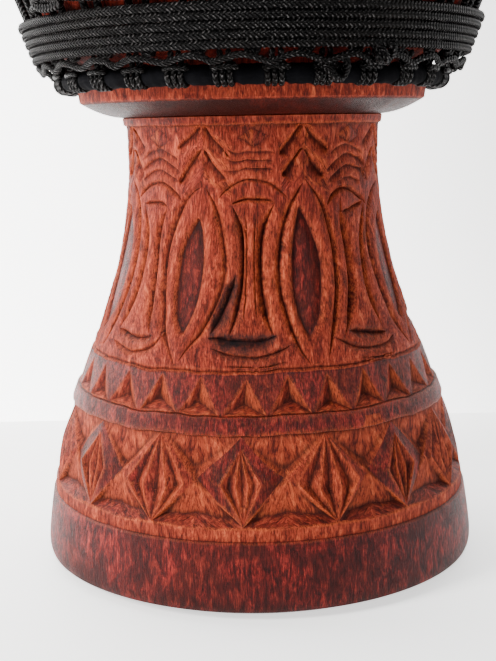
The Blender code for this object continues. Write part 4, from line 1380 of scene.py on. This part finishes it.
def make_stage():
    """A pale floor, and a pale wall close behind the drum."""
    wall_y, near, far, wide, high = 0.311, -2.6, 3.2, 2.9, 2.4
    verts = [(-wide, near, 0), (wide, near, 0), (wide, wall_y, 0), (-wide, wall_y, 0),
             (wide, wall_y, high), (-wide, wall_y, high), (wide, far, 0), (-wide, far, 0)]
    mesh = bpy.data.meshes.new("backdrop")
    mesh.from_pydata(verts, [], [(0, 1, 2, 3), (3, 2, 4, 5), (3, 2, 6, 7)])
    wall = lit_backdrop("pale_wall", 0.86, WALL_GLOW)
    one_sided(wall)
    mesh.materials.append(lit_backdrop("pale_floor", 0.82, FLOOR_GLOW).material)
    mesh.materials.append(wall.material)
    mesh.polygons[1].material_index = 1
    backdrop = bpy.data.objects.new("backdrop", mesh)
    bpy.context.scene.collection.objects.link(backdrop)


def add_light(name, place, target, size, watts, colour):
    """A square light of this size that faces its target."""
    data = bpy.data.lights.new(name, "AREA")
    data.shape = "RECTANGLE"
    data.size = data.size_y = size
    data.energy = watts
    data.color = colour
    light = bpy.data.objects.new(name, data)
    light.location = place
    light.rotation_euler = (Vector(target) - Vector(place)).to_track_quat("-Z", "Y").to_euler()
    bpy.context.scene.collection.objects.link(light)


def make_lights():
    """A window on the left, a weak fill on the right and a pale room."""
    add_light("window", (-1.45, -0.95, 1.15), (0, 0, 0.18), 0.6, 82, (1.0, 0.985, 0.96))
    add_light("fill", (1.3, -1.7, 0.7), (0, 0, 0.2), 1.2, 9, (0.97, 0.98, 1.0))
    world = bpy.data.worlds.new("soft_room")
    world.use_nodes = True
    colour, strength = world.node_tree.nodes["Background"].inputs[:2]
    colour.default_value = (0.95, 0.97, 1.0, 1)
    strength.default_value = 0.16
    bpy.context.scene.world = world


def make_camera():
    """The photograph's view: close in, near the stem's top, looking slightly down."""
    focal_px, width_px, sensor = 1157.86, 496, 36.0
    data = bpy.data.cameras.new("camera")
    data.sensor_fit = "HORIZONTAL"
    data.sensor_width = sensor
    data.lens = sensor * focal_px / width_px
    data.clip_start = 0.01
    camera = bpy.data.objects.new("camera", data)
    pitch, roll = math.radians(10.07), math.radians(-1.10)
    camera.matrix_world = (Matrix.Translation((-0.005, -0.7158, 0.2626))
                           @ Euler((math.pi / 2 - pitch, 0, 0)).to_matrix().to_4x4()
                           @ Matrix.Rotation(roll, 4, "Z"))
    bpy.context.scene.collection.objects.link(camera)
    bpy.context.scene.camera = camera


def main():
    make_camera()
    make_lights()
    make_stage()
    wood, rope, cloth = wood_material(), rope_material(), cloth_material()
    make_wood(wood)
    make_winding(rope)
    make_lacing(rope)
    make_woven_rope(rope)
    make_hitches("lower_hitches", "lower_loops", LOWER_RING, 1, rope)
    make_hitches("crown_hitches", "crown_loops", CROWN_RING, -1, rope)
    make_ring("lower_cloth_ring", "lower_ring", LOWER_RING, cloth)
    make_ring("crown_cloth_ring", "crown_ring", CROWN_RING, cloth)
    make_skin(skin_material())


main()
